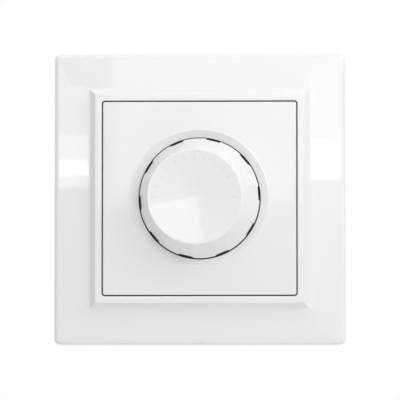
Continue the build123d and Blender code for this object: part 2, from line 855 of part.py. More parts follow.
with BuildPart() as mounting_plate:
    with BuildSketch(front(0)):
        blank = Rectangle(support_size, support_size)
        chamfer(blank.vertices(), support_corner)
        Circle(bush_radius + bush_fit, mode=Mode.SUBTRACT)
        with GridLocations(box_screw_spacing, 0, 2, 1):
            SlotOverall(box_slot_length, box_slot_width, mode=Mode.SUBTRACT)
        with GridLocations(0, box_screw_spacing, 1, 2):
            SlotOverall(box_slot_length, box_slot_width, rotation=90, mode=Mode.SUBTRACT)
        with GridLocations(2 * claw_screw_place, 0, 2, 1):
            Circle(claw_screw_radius + screw_hole_clearance, mode=Mode.SUBTRACT)
        with Locations((0, triac_hole_place)):
            Circle(triac_screw_radius + screw_hole_clearance, mode=Mode.SUBTRACT)
        with Locations(boss_place, (-boss_place[0], -boss_place[1])):
            Circle(housing_screw_radius + screw_hole_clearance, mode=Mode.SUBTRACT)
        window = pin_depth + ear_radius
        with GridLocations(2 * pin_place, 2 * ear_outside + window, 2, 2):
            Rectangle(2 * ear_radius, window, mode=Mode.SUBTRACT)
    extrude(amount=support_thickness)
    for ear_place in (ear_inside + ear_thickness / 2, -ear_inside - ear_thickness / 2):
        with BuildSketch(level(ear_place)):
            with Locations((-pin_place, 0), (pin_place, 0)):
                Rectangle(2 * ear_radius, pin_depth, align=(Align.CENTER, Align.MAX))
            with Locations((-pin_place, -pin_depth), (pin_place, -pin_depth)):
                Circle(ear_radius)
                Circle(pin_radius, mode=Mode.SUBTRACT)
        extrude(amount=ear_thickness / 2, both=True)
finish(mounting_plate, "mounting_plate")

# Claws: the nut's pegs ride in the arms' curved slots, so pulling the nut forward spreads the claw
with BuildPart() as claw_pins:
    pin_length = ear_outside - arm_inside + 2 * pin_overhang
    for pin_start in (ear_outside + pin_overhang, -arm_inside + pin_overhang):
        with BuildSketch(level(pin_start)):
            with Locations((-pin_place, -pin_depth), (pin_place, -pin_depth)):
                Circle(pin_radius)
        extrude(amount=pin_length)
finish(claw_pins, "claw_pins")


def peg_in_claw(share):
    """Place of the peg's centre on the claw, after this share of the nut's travel."""
    out = claw_screw_offset
    back = -(claw_nut_rest - pin_depth) + share * claw_nut_travel
    swing = radians(share * claw_swing)
    return (
        pin_place + out * cos(swing) + back * sin(swing),
        -pin_depth - out * sin(swing) + back * cos(swing),
    )


with BuildPart() as claw_right:
    peg_room = peg_radius + peg_clearance
    plate_in = pin_place + tooth_plate_offset
    plate_out = plate_in + tooth_plate_thickness
    plate_low = -pin_depth - tooth_plate_end
    plate_high = -pin_depth - tooth_plate_top
    for arm_place in (arm_inside + claw_arm_thickness / 2, -arm_inside - claw_arm_thickness / 2):
        with BuildSketch(level(arm_place)):
            with BuildLine():
                CenterArc((pin_place, -pin_depth), ear_radius, 0, 360)
                for share in (0, 0.5, 1):
                    CenterArc(peg_in_claw(share), peg_room + arm_margin, 0, 360)
                Polyline((plate_in, plate_low), (plate_out, plate_low), (plate_out, plate_high))
            make_hull()
            with BuildLine() as slot_path:
                ThreePointArc(peg_in_claw(0), peg_in_claw(0.5), peg_in_claw(1))
            SlotArc(slot_path.edge(), 2 * peg_room, mode=Mode.SUBTRACT)
            with Locations((pin_place, -pin_depth)):
                Circle(pin_radius + pin_fit, mode=Mode.SUBTRACT)
        extrude(amount=claw_arm_thickness / 2, both=True)
    with BuildSketch(level(0)):
        with Locations((plate_in, plate_low)):
            Rectangle(tooth_plate_thickness, plate_high - plate_low, align=(Align.MIN, Align.MIN))
        for tooth in range(tooth_count):
            root_low = plate_low + tooth * 2 * tooth_size
            Polygon(
                (plate_out, root_low),
                (plate_out + tooth_size, root_low),
                (plate_out, root_low + 2 * tooth_size),
                align=None,
            )
    extrude(amount=arm_outside, both=True)
finish(claw_right, "claw_right")

with BuildPart() as claw_left:
    mirror(claw_right.part, about=Plane.YZ)
finish(claw_left, "claw_left")

with BuildPart() as claw_nut_right:
    with BuildSketch(front(-claw_nut_rest - claw_nut_depth / 2)):
        with Locations((claw_screw_place, 0)):
            Rectangle(claw_nut_width, claw_nut_height)
    extrude(amount=claw_nut_depth)
    with BuildSketch(level(0)):
        with Locations((claw_screw_place, -claw_nut_rest)):
            Circle(peg_radius)
    extrude(amount=ear_inside, both=True)
    with BuildSketch(front(-claw_nut_rest - claw_nut_depth / 2)):
        with Locations((claw_screw_place, 0)):
            Circle(claw_screw_radius + shaft_fit)
    extrude(amount=claw_nut_depth, mode=Mode.SUBTRACT)
finish(claw_nut_right, "claw_nut_right")

with BuildPart() as claw_nut_left:
    mirror(claw_nut_right.part, about=Plane.YZ)
finish(claw_nut_left, "claw_nut_left")


def slotted_screw(place, seat, head_radius, head_height, radius, length):
    """A screw driven in from the front: its head stands on the seat height."""
    with BuildPart() as screw:
        with BuildSketch(front(seat - length)):
            with Locations(place):
                Circle(radius)
        extrude(amount=length)
        with BuildSketch(front(seat)):
            with Locations(place):
                Circle(head_radius)
        extrude(amount=head_height)
        with BuildSketch(front(seat + head_height - screw_slot_depth)):
            with Locations(place):
                Rectangle(2 * head_radius, screw_slot_width, rotation=screw_slot_turn)
        extrude(amount=screw_slot_depth, mode=Mode.SUBTRACT)
    return screw.part


with BuildPart() as claw_screws:
    for side in (-1, 1):
        add(
            slotted_screw(
                (side * claw_screw_place, 0),
                support_front,
                claw_screw_head_radius,
                claw_screw_head_height,
                claw_screw_radius,
                claw_screw_length,
            )
        )
finish(claw_screws, "claw_screws")

with BuildPart() as housing_screws:
    for side in (-1, 1):
        add(
            slotted_screw(
                (side * boss_place[0], side * boss_place[1]),
                support_front,
                housing_screw_head_radius,
                low_head_height,
                housing_screw_radius,
                housing_screw_length,
            )
        )
finish(housing_screws, "housing_screws")


def housing_outline(inset):
    """Outline of the housing in front view, moved inwards by the inset."""
    with BuildSketch() as outline:
        Rectangle(housing_width - 2 * inset, housing_tall - 2 * inset)
        Circle(housing_radius - inset, mode=Mode.INTERSECT)
    return outline.sketch


cage_middle = board_back - cage_tail - cage_length / 2

# Rear housing: a cup with posts for the board and bosses for its two screws
with BuildPart() as rear_housing:
    with BuildSketch(front(-housing_depth)):
        add(housing_outline(0))
    extrude(amount=housing_depth)
    with BuildSketch(front(housing_floor)):
        add(housing_outline(housing_wall))
    extrude(amount=-housing_floor, mode=Mode.SUBTRACT)
    with BuildSketch(front(housing_floor)):
        with GridLocations(2 * boss_place[0], 2 * boss_place[1], 2, 2):
            Circle(post_radius)
    extrude(amount=board_back - housing_floor)
    with BuildSketch(front(board_back)):
        with Locations(boss_place, (-boss_place[0], -boss_place[1])):
            Circle(boss_radius)
    extrude(amount=-board_back)
    with BuildSketch(front(support_front - housing_screw_length)):
        with Locations(boss_place, (-boss_place[0], -boss_place[1])):
            Circle(housing_screw_radius + shaft_fit)
    extrude(amount=housing_screw_length, mode=Mode.SUBTRACT)
    with BuildSketch(upright):
        for vent in range(vent_count):
            with Locations((0, -vent_first - vent * vent_pitch)):
                SlotOverall(vent_length, vent_width)
    extrude(amount=housing_width, both=True, mode=Mode.SUBTRACT)
    with BuildSketch(front(-housing_depth)):
        with Locations((0, -block_centre)):
            with GridLocations(terminal_pitch, 0, terminal_count, 1):
                Circle(wire_hole_radius)
    extrude(amount=housing_wall, mode=Mode.SUBTRACT)
    with BuildSketch(level(-housing_tall / 2 + housing_wall)):
        with Locations((0, cage_middle)):
            with GridLocations(terminal_pitch, 0, terminal_count, 1):
                Circle(terminal_screw_head_radius + screw_hole_clearance)
    extrude(amount=housing_wall, mode=Mode.SUBTRACT)
finish(rear_housing, "rear_housing")

with BuildPart() as circuit_board:
    with BuildSketch(front(board_back)):
        add(housing_outline(housing_wall + board_clearance))
        for side in (-1, 1):
            corner = Align.MIN if side > 0 else Align.MAX
            with Locations((side * boss_place[0], side * boss_place[1])):
                Circle(boss_radius + board_notch_clearance, mode=Mode.SUBTRACT)
                Rectangle(boss_place[0], boss_place[1], align=(corner, corner), mode=Mode.SUBTRACT)
    extrude(amount=board_thickness)
finish(circuit_board, "circuit_board")

# Terminals: wires enter from the back, and each cage's screw is reached from below
with BuildPart() as terminal_block:
    block_width = (terminal_count - 1) * terminal_pitch + cage_width + 2 * (cage_clearance + block_side_wall)
    block_low = housing_floor + cage_clearance
    with BuildSketch(front(block_low)):
        with Locations((0, -block_centre)):
            Rectangle(block_width, block_tall)
            with GridLocations(terminal_pitch, 0, terminal_count, 1):
                Rectangle(
                    cage_width + 2 * cage_clearance,
                    cage_tall + 2 * cage_clearance,
                    mode=Mode.SUBTRACT,
                )
    extrude(amount=board_back - block_low)
    with BuildSketch(level(-block_centre)):
        with Locations((0, cage_middle)):
            with GridLocations(terminal_pitch, 0, terminal_count, 1):
                Circle(terminal_screw_head_radius + screw_hole_clearance)
    extrude(amount=block_tall, mode=Mode.SUBTRACT)
finish(terminal_block, "terminal_block")

with BuildPart() as terminal_cages:
    cage_low = cage_middle - cage_length / 2
    with BuildSketch(front(cage_low)):
        with Locations((0, -block_centre)):
            with GridLocations(terminal_pitch, 0, terminal_count, 1):
                Rectangle(cage_width, cage_tall)
                Rectangle(cage_width - 2 * cage_wall, cage_tall - 2 * cage_wall, mode=Mode.SUBTRACT)
    extrude(amount=cage_length)
    with BuildSketch(front(cage_low + cage_length)):
        with Locations((0, -block_centre + (cage_tall - cage_wall) / 2)):
            with GridLocations(terminal_pitch, 0, terminal_count, 1):
                Rectangle(2 * cage_wall, cage_wall)
    extrude(amount=board_back - cage_low - cage_length)
    with BuildSketch(level(-block_centre)):
        with Locations((0, cage_middle)):
            with GridLocations(terminal_pitch, 0, terminal_count, 1):
                Circle(terminal_screw_radius + shaft_fit)
    extrude(amount=block_tall, mode=Mode.SUBTRACT)
finish(terminal_cages, "terminal_cages")

with BuildPart() as terminal_screws:
    screw_seat = -block_centre - cage_tall / 2
    for reach, radius in (
        (terminal_screw_head_height, terminal_screw_head_radius),
        (-terminal_screw_length, terminal_screw_radius),
    ):
        with BuildSketch(level(screw_seat)):
            with Locations((0, cage_middle)):
                with GridLocations(terminal_pitch, 0, terminal_count, 1):
                    Circle(radius)
        extrude(amount=reach)
    with BuildSketch(level(screw_seat + screw_slot_depth - terminal_screw_head_height)):
        with Locations((0, cage_middle)):
            with GridLocations(terminal_pitch, 0, terminal_count, 1):
                Rectangle(2 * terminal_screw_head_radius, screw_slot_width / 2)
    extrude(amount=screw_slot_depth, mode=Mode.SUBTRACT)
finish(terminal_screws, "terminal_screws")

# Choke: a ring core inside a winding that leaves a gap at one side
core_low = -board_front + winding_thickness
core_high = core_low + choke_height
choke_axis = Axis((0, 0, choke_place), (0, 1, 0))
choke_plane = Plane(origin=(0, 0, choke_place), x_dir=(1, 0, 0), z_dir=(0, 0, -1))

with BuildPart() as choke_core:
    with BuildSketch(choke_plane):
        with Locations((choke_inner_radius, core_low)):
            Rectangle(
                choke_outer_radius - choke_inner_radius,
                choke_height,
                align=(Align.MIN, Align.MIN),
            )
    revolve(axis=choke_axis)
finish(choke_core, "choke_core")

with BuildPart() as choke_winding:
    with BuildSketch(choke_plane):
        with Locations(((choke_inner_radius + choke_outer_radius) / 2, (core_low + core_high) / 2)):
            Rectangle(
                choke_outer_radius - choke_inner_radius + 2 * winding_thickness,
                choke_height + 2 * winding_thickness,
            )
            Rectangle(choke_outer_radius - choke_inner_radius, choke_height, mode=Mode.SUBTRACT)
    revolve(axis=choke_axis, revolution_arc=winding_angle)
    with BuildSketch(front(-board_front)):
        with Locations((0, choke_place)):
            with PolarLocations(choke_outer_radius + winding_thickness, winding_groove_count):
                Rectangle(winding_groove, winding_groove, rotation=45)
    extrude(amount=choke_height + 2 * winding_thickness, mode=Mode.SUBTRACT)
finish(choke_winding, "choke_winding")

# Triac: its tab is screwed to the mounting plate, which carries its heat away
with BuildPart() as triac_pad:
    with BuildSketch(front(-triac_pad_thickness)):
        with Locations((0, triac_bottom - triac_pad_margin)):
            Rectangle(
                triac_width + 2 * triac_pad_margin,
                triac_body_length + triac_tab_length + 2 * triac_pad_margin,
                align=(Align.CENTER, Align.MIN),
            )
        with Locations((0, triac_hole_place)):
            Circle(triac_screw_radius + screw_hole_clearance, mode=Mode.SUBTRACT)
    extrude(amount=triac_pad_thickness)
finish(triac_pad, "triac_pad")

with BuildPart() as triac:
    tab_back = -triac_pad_thickness - triac_tab_thickness
    body_back = -triac_pad_thickness - triac_body_thickness
    lead_place = triac_bottom - triac_lead_run
    lead_height = (tab_back + body_back) / 2
    with BuildSketch(front(tab_back)):
        with Locations((0, triac_bottom)):
            Rectangle(
                triac_width, triac_body_length + triac_tab_length, align=(Align.CENTER, Align.MIN)
            )
        with Locations((0, triac_hole_place)):
            Circle(triac_screw_radius + screw_hole_clearance, mode=Mode.SUBTRACT)
    extrude(amount=triac_tab_thickness)
    with BuildSketch(front(body_back)):
        with Locations((0, triac_bottom)):
            Rectangle(triac_width, triac_body_length, align=(Align.CENTER, Align.MIN))
    extrude(amount=triac_body_thickness)
    with BuildSketch(front(lead_height)):
        with Locations((0, lead_place)):
            with GridLocations(triac_lead_pitch, 0, 3, 1):
                Rectangle(triac_lead_width, triac_lead_run, align=(Align.CENTER, Align.MIN))
    extrude(amount=triac_lead_thickness)
    with BuildSketch(front(-board_front)):
        with Locations((0, lead_place)):
            with GridLocations(triac_lead_pitch, 0, 3, 1):
                Rectangle(triac_lead_width, triac_lead_thickness, align=(Align.CENTER, Align.MIN))
    extrude(amount=board_front + lead_height + triac_lead_thickness)
finish(triac, "triac")

with BuildPart() as triac_nut:
    with BuildSketch(front(tab_back - triac_nut_thickness)):
        with Locations((0, triac_hole_place)):
            RegularPolygon(triac_nut_across_flats / 2, 6, major_radius=False)
            Circle(triac_screw_radius + shaft_fit, mode=Mode.SUBTRACT)
    extrude(amount=triac_nut_thickness)
finish(triac_nut, "triac_nut")

with BuildPart() as triac_screw:
    add(
        slotted_screw(
            (0, triac_hole_place),
            support_front,
            triac_screw_head_radius,
            low_head_height,
            triac_screw_radius,
            support_front - tab_back + triac_nut_thickness + low_head_height / 2,
        )
    )
finish(triac_screw, "triac_screw")

# Capacitors, standing on the board
for name, place, size in (
    ("filter_capacitor", capacitor_place, capacitor_size),
    ("timing_capacitor", timing_place, timing_size),
):
    with BuildPart() as capacitor:
        with BuildSketch(front(-board_front)):
            with Locations(place):
                RectangleRounded(size[0], size[1], capacitor_corner)
        extrude(amount=size[2])
        fillet(capacitor.faces().sort_by(Axis.Y)[0].edges(), capacitor_corner / 2)
    finish(capacitor, name)


def axial_part(place, radius, length, lead_span):
    """A round body lying on the board, with leads that bend down to it."""
    axis_height = -board_front + radius
    half_span = lead_span / 2
    with BuildPart() as component:
        with BuildSketch(Plane.YZ.offset(-length / 2)):
            with Locations((-axis_height, place)):
                Circle(radius)
        extrude(amount=length)
        with BuildLine() as lead:
            FilletPolyline(
                (-half_span, board_front, place),
                (-half_span, -axis_height, place),
                (half_span, -axis_height, place),
                (half_span, board_front, place),
                radius=lead_bend,
            )
        with BuildSketch(Plane(origin=lead.line @ 0, z_dir=lead.line % 0)):
            Circle(resistor_lead_radius)
        sweep()
    return component.part


with BuildPart() as resistors:
    for index in range(resistor_count):
        place = resistor_first + index * resistor_pitch
        add(axial_part(place, resistor_radius, resistor_length, resistor_lead_span))
finish(resistors, "resistors")

with BuildPart() as diac:
    add(axial_part(diac_place, diac_radius, diac_length, diac_lead_span))
finish(diac, "diac")

# Glass fuse in two spring clips
with BuildPart() as fuse_glass:
    with BuildSketch(level(0)):
        with Locations((fuse_place, -fuse_height)):
            Circle(fuse_radius)
            Circle(fuse_radius - fuse_glass_wall, mode=Mode.SUBTRACT)
    extrude(amount=fuse_length / 2 - fuse_cap_end, both=True)
finish(fuse_glass, "fuse_glass")

with BuildPart() as fuse_wire:
    with BuildSketch(level(0)):
        with Locations((fuse_place, -fuse_height)):
            Circle(fuse_wire_radius)
    extrude(amount=fuse_length / 2 - fuse_cap_end, both=True)
finish(fuse_wire, "fuse_wire")

with BuildPart() as fuse_caps:
    for end, inwards in ((fuse_length / 2, 1), (-fuse_length / 2, -1)):
        with BuildSketch(level(end)):
            with Locations((fuse_place, -fuse_height)):
                Circle(fuse_cap_radius)
        extrude(amount=inwards * fuse_cap_length)
        with BuildSketch(level(end - inwards * fuse_cap_end)):
            with Locations((fuse_place, -fuse_height)):
                Circle(fuse_radius)
        extrude(amount=inwards * fuse_cap_length, mode=Mode.SUBTRACT)
finish(fuse_caps, "fuse_caps")

with BuildPart() as fuse_clips:
    clip_outside = fuse_cap_radius + fuse_clip_thickness
    clip_middle = (fuse_length - fuse_cap_length) / 2
    for clip_place in (-clip_middle, clip_middle):
        with BuildSketch(level(clip_place)):
            with Locations((fuse_place, -fuse_height)):
                add(ring_sector(fuse_cap_radius, clip_outside, -90, fuse_clip_wrap_angle))
            with Locations((fuse_place, -board_front)):
                Rectangle(
                    fuse_clip_stem,
                    board_front - fuse_height - fuse_cap_radius,
                    align=(Align.CENTER, Align.MIN),
                )
            with Locations((fuse_place, -fuse_height)):
                Circle(fuse_cap_radius, mode=Mode.SUBTRACT)
        extrude(amount=fuse_clip_width / 2, both=True)
finish(fuse_clips, "fuse_clips")
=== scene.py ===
import json
import math

import bpy
import numpy as np
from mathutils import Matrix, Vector


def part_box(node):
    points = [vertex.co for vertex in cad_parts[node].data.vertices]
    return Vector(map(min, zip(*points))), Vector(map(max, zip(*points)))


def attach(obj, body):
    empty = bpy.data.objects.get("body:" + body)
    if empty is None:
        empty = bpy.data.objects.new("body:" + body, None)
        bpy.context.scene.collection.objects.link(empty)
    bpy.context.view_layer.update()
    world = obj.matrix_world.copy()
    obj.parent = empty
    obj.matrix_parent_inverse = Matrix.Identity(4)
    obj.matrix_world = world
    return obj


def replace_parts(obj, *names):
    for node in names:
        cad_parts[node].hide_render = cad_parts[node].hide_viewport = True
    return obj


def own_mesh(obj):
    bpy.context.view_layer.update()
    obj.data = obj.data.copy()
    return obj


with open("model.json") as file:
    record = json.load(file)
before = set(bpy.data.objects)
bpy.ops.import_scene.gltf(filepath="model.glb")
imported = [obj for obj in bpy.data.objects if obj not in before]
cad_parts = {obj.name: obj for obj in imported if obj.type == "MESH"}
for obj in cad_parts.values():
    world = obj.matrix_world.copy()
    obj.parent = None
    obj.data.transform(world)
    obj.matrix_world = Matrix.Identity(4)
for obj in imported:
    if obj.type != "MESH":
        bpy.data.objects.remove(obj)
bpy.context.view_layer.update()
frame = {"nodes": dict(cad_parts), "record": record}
MM = 0.001

# The object's sizes are in millimetres, with X to the right, Z up, and a height measured from the
# wall towards the room, so that a height h lies at Y = -h. Points are turned into metres once,
# when a mesh is made. The studio and the depths of relief are in metres.

# Cover frame
FRAME_HALF = 41.0
SHOULDER_HALF = 40.895
SHOULDER_HEIGHT = 6.0
SHOULDER_RADIUS = 1.2
FRAME_CORNER = 1.6
FRAME_WALL = 2.0
FOOT_HALF = 30.7
FOOT_HEIGHT = 7.0
FOOT_RADIUS = 1.0
FACE_BULGE = 0.03
FACE_CORNER = 5.0
CREST_HALF = 29.32
CREST_HEIGHT = 9.2
CREST_CORNER = 0.22
CREST_RADIUS = 0.16
OPENING_HALF = 27.5
OPENING_CORNER = 0.9
LEDGE_HALF = 25.85
LEDGE_HEIGHT = 6.9
LEDGE_BOTTOM = 4.2
CORE_HALF = 27.85
CORE_TOP = CREST_HEIGHT - FRAME_WALL - 0.7
NOTCH_PLACE = 33.5
NOTCH_HALF = 1.2
NOTCH_HEIGHT = 1.4
NOTCH_DEPTH = 0.5
NOTCH_STEP = 0.04
RIB_BOTTOM = 1.5
RIB_HALF = 0.6
RIB_SPACING = 22.0
RIB_SINK = 0.3
FRAME_RIB_RISE = 0.4
PLATE_RIB_RISE = 0.2
INNER_ROUND = 0.1

# Centre plate
PLATE_HALF = 27.12
PLATE_HEIGHT = 9.3
PLATE_CORNER = 0.6
PLATE_EDGE = 0.3
PLATE_UNDERSIDE = 7.3
SPIGOT_HALF = 25.6
SPIGOT_INSIDE = 24.2
SPIGOT_BOTTOM = 4.4
WELL_RADIUS = 17.15
WELL_OUTSIDE = 18.83
WELL_FLOOR = 4.2
WELL_FLOOR_BACK = 2.6
SINK_RADIUS = 18.9
SINK_BOTTOM = 8.45
BEAD_WIDTH = 0.7
BEAD_HEIGHT = 0.14
BOSS_RADIUS = 8.0
BOSS_BACK = 1.2
BUSH_HOLE = 4.96
DIAGONAL_RIB_CUT = 0.8

# Knob
KNOB_RADIUS = 16.83
SKIRT_BOTTOM = 6.0
RIM_HEIGHT = 9.4
TOP_HEIGHT = 16.8
TOP_RADIUS = 13.35
TOP_SHIFT = -1.2
TOP_EDGE = 0.2
LIP_ROUND = 0.2
KNOB_WALL = 1.6
DISH_RADIUS = 12.95
DISH_SLOPE = math.radians(8.8)
NOSE_RADIUS = 24.0
CAVITY_TOP = 13.535
HUB_RADIUS = 5.13
HUB_BOTTOM = 9.0
BORE_RADIUS = 3.03
BORE_TOP = 13.9
BORE_FLAT = 2.2
KNOB_RIB_MIDDLE_DROP = 1.5
KNOB_RIB_HALF_DEPTH = 1.7
KNOB_RIB_HUB_SINK = 0.4
POINTER_ANGLE = math.radians(184.5)
GRIP_COUNT = 10
GRIP_HALF_WIDTH = 1.9
GRIP_DEPTH = 0.37
GRIP_REACH = 0.75
PIP_HEIGHT = 11.4
PIP_RADIUS = 0.3
PIP_RISE = 0.16
PIP_STEM = 0.8
PIP_SIDES = 24
TICK_COUNT = 13
TICK_RADIUS = 11.0
TICK_HALF_LENGTH = 0.7
TICK_HALF_WIDTH = 0.11
TICK_RISE = 0.07
TICK_EDGE_RISE = 0.015
TICK_SINK = 0.06

# Push switch's spring
COIL_RADIUS = 2.5
COIL_WIRE = 0.22
COIL_TURNS = 4
COIL_STEPS = 33
WIRE_SIDES = 10

# Painted shade with some dust, darkening the colour down in the gaps between plate and frame and
# beside the knob: between which two distances from the axis each edge of it fades, and between which two
# heights it begins
# These bands paint shade, with some dust, into the colour down in the gaps
SEAM_SHADE_AND_DUST = ((PLATE_HALF - 0.22, PLATE_HALF - 0.02), (OPENING_HALF + 0.02, OPENING_HALF + 0.1))
WELL_SHADE_AND_DUST = ((KNOB_RADIUS - 0.43, KNOB_RADIUS - 0.23), (WELL_RADIUS + 0.07, WELL_RADIUS + 0.13))
SEAM_SHADE_AND_DUST_TOP = (PLATE_HEIGHT - 0.3, PLATE_HEIGHT - 1.3)
WELL_SHADE_AND_DUST_TOP = (SINK_BOTTOM - 0.05, SINK_BOTTOM - 1.05)


# Meshes: every new piece is a grid of points worked out as whole arrays


def make_mesh(name, points, faces, body, material, sharp=35.0):
    """A piece from points in millimetres and faces by number, riding on a body."""
    mesh = bpy.data.meshes.new(name)
    mesh.from_pydata((np.asarray(points) * MM).tolist(), [], [list(map(int, f)) for f in faces])
    mesh.validate()
    mesh.shade_smooth()
    mesh.set_sharp_from_angle(angle=math.radians(sharp))
    piece = bpy.data.objects.new(name, mesh)
    bpy.context.scene.collection.objects.link(piece)
    mesh.materials.append(material)
    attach(piece, body)
    return piece


def ring_faces(rows, columns, first=0, wrap_rows=False):
    """Quads between each ring and the next, where every ring closes on itself. With wrap_rows the
    last ring is joined to the first, as on a tube bent into a closed loop."""
    row = np.arange(rows if wrap_rows else rows - 1)[:, None]
    column = np.arange(columns)[None, :]
    after, beside = (row + 1) % rows, (column + 1) % columns
    corners = (
        row * columns + column, row * columns + beside, after * columns + beside, after * columns + column,
    )
    return (np.stack(np.broadcast_arrays(*corners), -1).reshape(-1, 4) + first).tolist()


def outward(points, faces):
    """The faces of a closed shell, all turned round if the shell's signed volume, which is the sum
    over its triangles of corner . (corner x corner) / 6, comes out negative."""
    points = np.asarray(points)
    fans = np.array([(f[0], f[i], f[i + 1]) for f in faces for i in range(1, len(f) - 1)])
    a, b, c = (points[fans[:, i]] for i in range(3))
    volume = np.einsum("ij,ij->i", a, np.cross(b, c)).sum()
    return faces if volume > 0 else [f[::-1] for f in faces]


def arc(centre, radius, start, end, count):
    """Points on a circle in a section: centre + radius (cos, sin) of evenly spaced angles."""
    turn = np.radians(np.linspace(start, end, count))
    return [(centre[0] + radius * math.cos(t), centre[1] + radius * math.sin(t)) for t in turn]


def rounded_corner(before, corner, after, radius, count=6):
    """Arc that rounds the corner of a section's line. It touches both sides, at radius / tan(half
    the angle between them) from the corner, and its centre lies on their bisector."""
    corner = np.array(corner, float)
    back = np.array(before, float) - corner
    ahead = np.array(after, float) - corner
    back, ahead = back / np.linalg.norm(back), ahead / np.linalg.norm(ahead)
    half = math.acos(np.clip(back @ ahead, -1, 1)) / 2
    bisector = (back + ahead) / np.linalg.norm(back + ahead)
    centre = corner + bisector * radius / math.sin(half)
    first = corner + back * radius / math.tan(half) - centre
    last = corner + ahead * radius / math.tan(half) - centre
    share = np.linspace(0, 1, count)[:, None]
    chord = first * (1 - share) + last * share
    return (centre + chord / np.linalg.norm(chord, axis=1)[:, None] * radius).tolist()


# Stations round a square: places along one side, then the corner's angles
SIDE_PLACES = np.unique(np.concatenate([
    np.linspace(-1, 1, 41),
    [
        way * (NOTCH_PLACE + edge * (NOTCH_HALF + step)) / (FRAME_HALF - FRAME_CORNER)
        for way in (-1, 1) for edge in (-1, 1) for step in (0, NOTCH_STEP)
    ],
]))
CORNER_STEPS = 8


def square_rings(half, corner):
    """Rings of a rounded square. Along each side a point's place is the side's straight half times
    its station; round each corner it is the corner's centre plus radius (cos, sin). half and corner
    hold one value a ring. Returns (rings, stations, 2)."""
    half, corner = np.asarray(half, float)[:, None], np.asarray(corner, float)[:, None]
    straight = half - corner
    bend = np.radians(np.linspace(0, 90, CORNER_STEPS + 1))[None, 1:-1]
    side = np.stack([half + 0 * SIDE_PLACES[None, :], straight * SIDE_PLACES[None, :]], -1)
    turn = np.stack([straight + corner * np.cos(bend), straight + corner * np.sin(bend)], -1)
    quarter = np.concatenate([side, turn], 1)
    rings = []
    for q in range(4):
        c, s = round(math.cos(math.pi / 2 * q)), round(math.sin(math.pi / 2 * q))
        x, y = quarter[..., 0], quarter[..., 1]
        rings.append(np.stack([c * x - s * y, s * x + c * y], -1))
    return np.concatenate(rings, 1)


def lift(flat, height):
    """Points of the front view and their heights, as places in the object."""
    return np.stack([flat[..., 0], -np.broadcast_to(height, flat.shape[:-1]), flat[..., 1]], -1)


def boxes(pieces):
    """Closed boxes, each from its middle, its three half sizes and its turn about the knob's axis."""
    corners = np.array([(x, y, z) for x in (-1, 1) for y in (-1, 1) for z in (-1, 1)], float)
    sides = [(0, 1, 3, 2), (4, 6, 7, 5), (0, 4, 5, 1), (2, 3, 7, 6), (0, 2, 6, 4), (1, 5, 7, 3)]
    points, faces = [], []
    for middle, half, turn in pieces:
        p = corners * half
        c, s = math.cos(turn), math.sin(turn)
        p = np.stack([c * p[:, 0] - s * p[:, 2], p[:, 1], s * p[:, 0] + c * p[:, 2]], -1) + middle
        f = [[i + len(points) * 8 for i in side] for side in sides]
        faces += outward(np.concatenate([*points, p]), f)
        points.append(p)
    return np.concatenate(points), faces


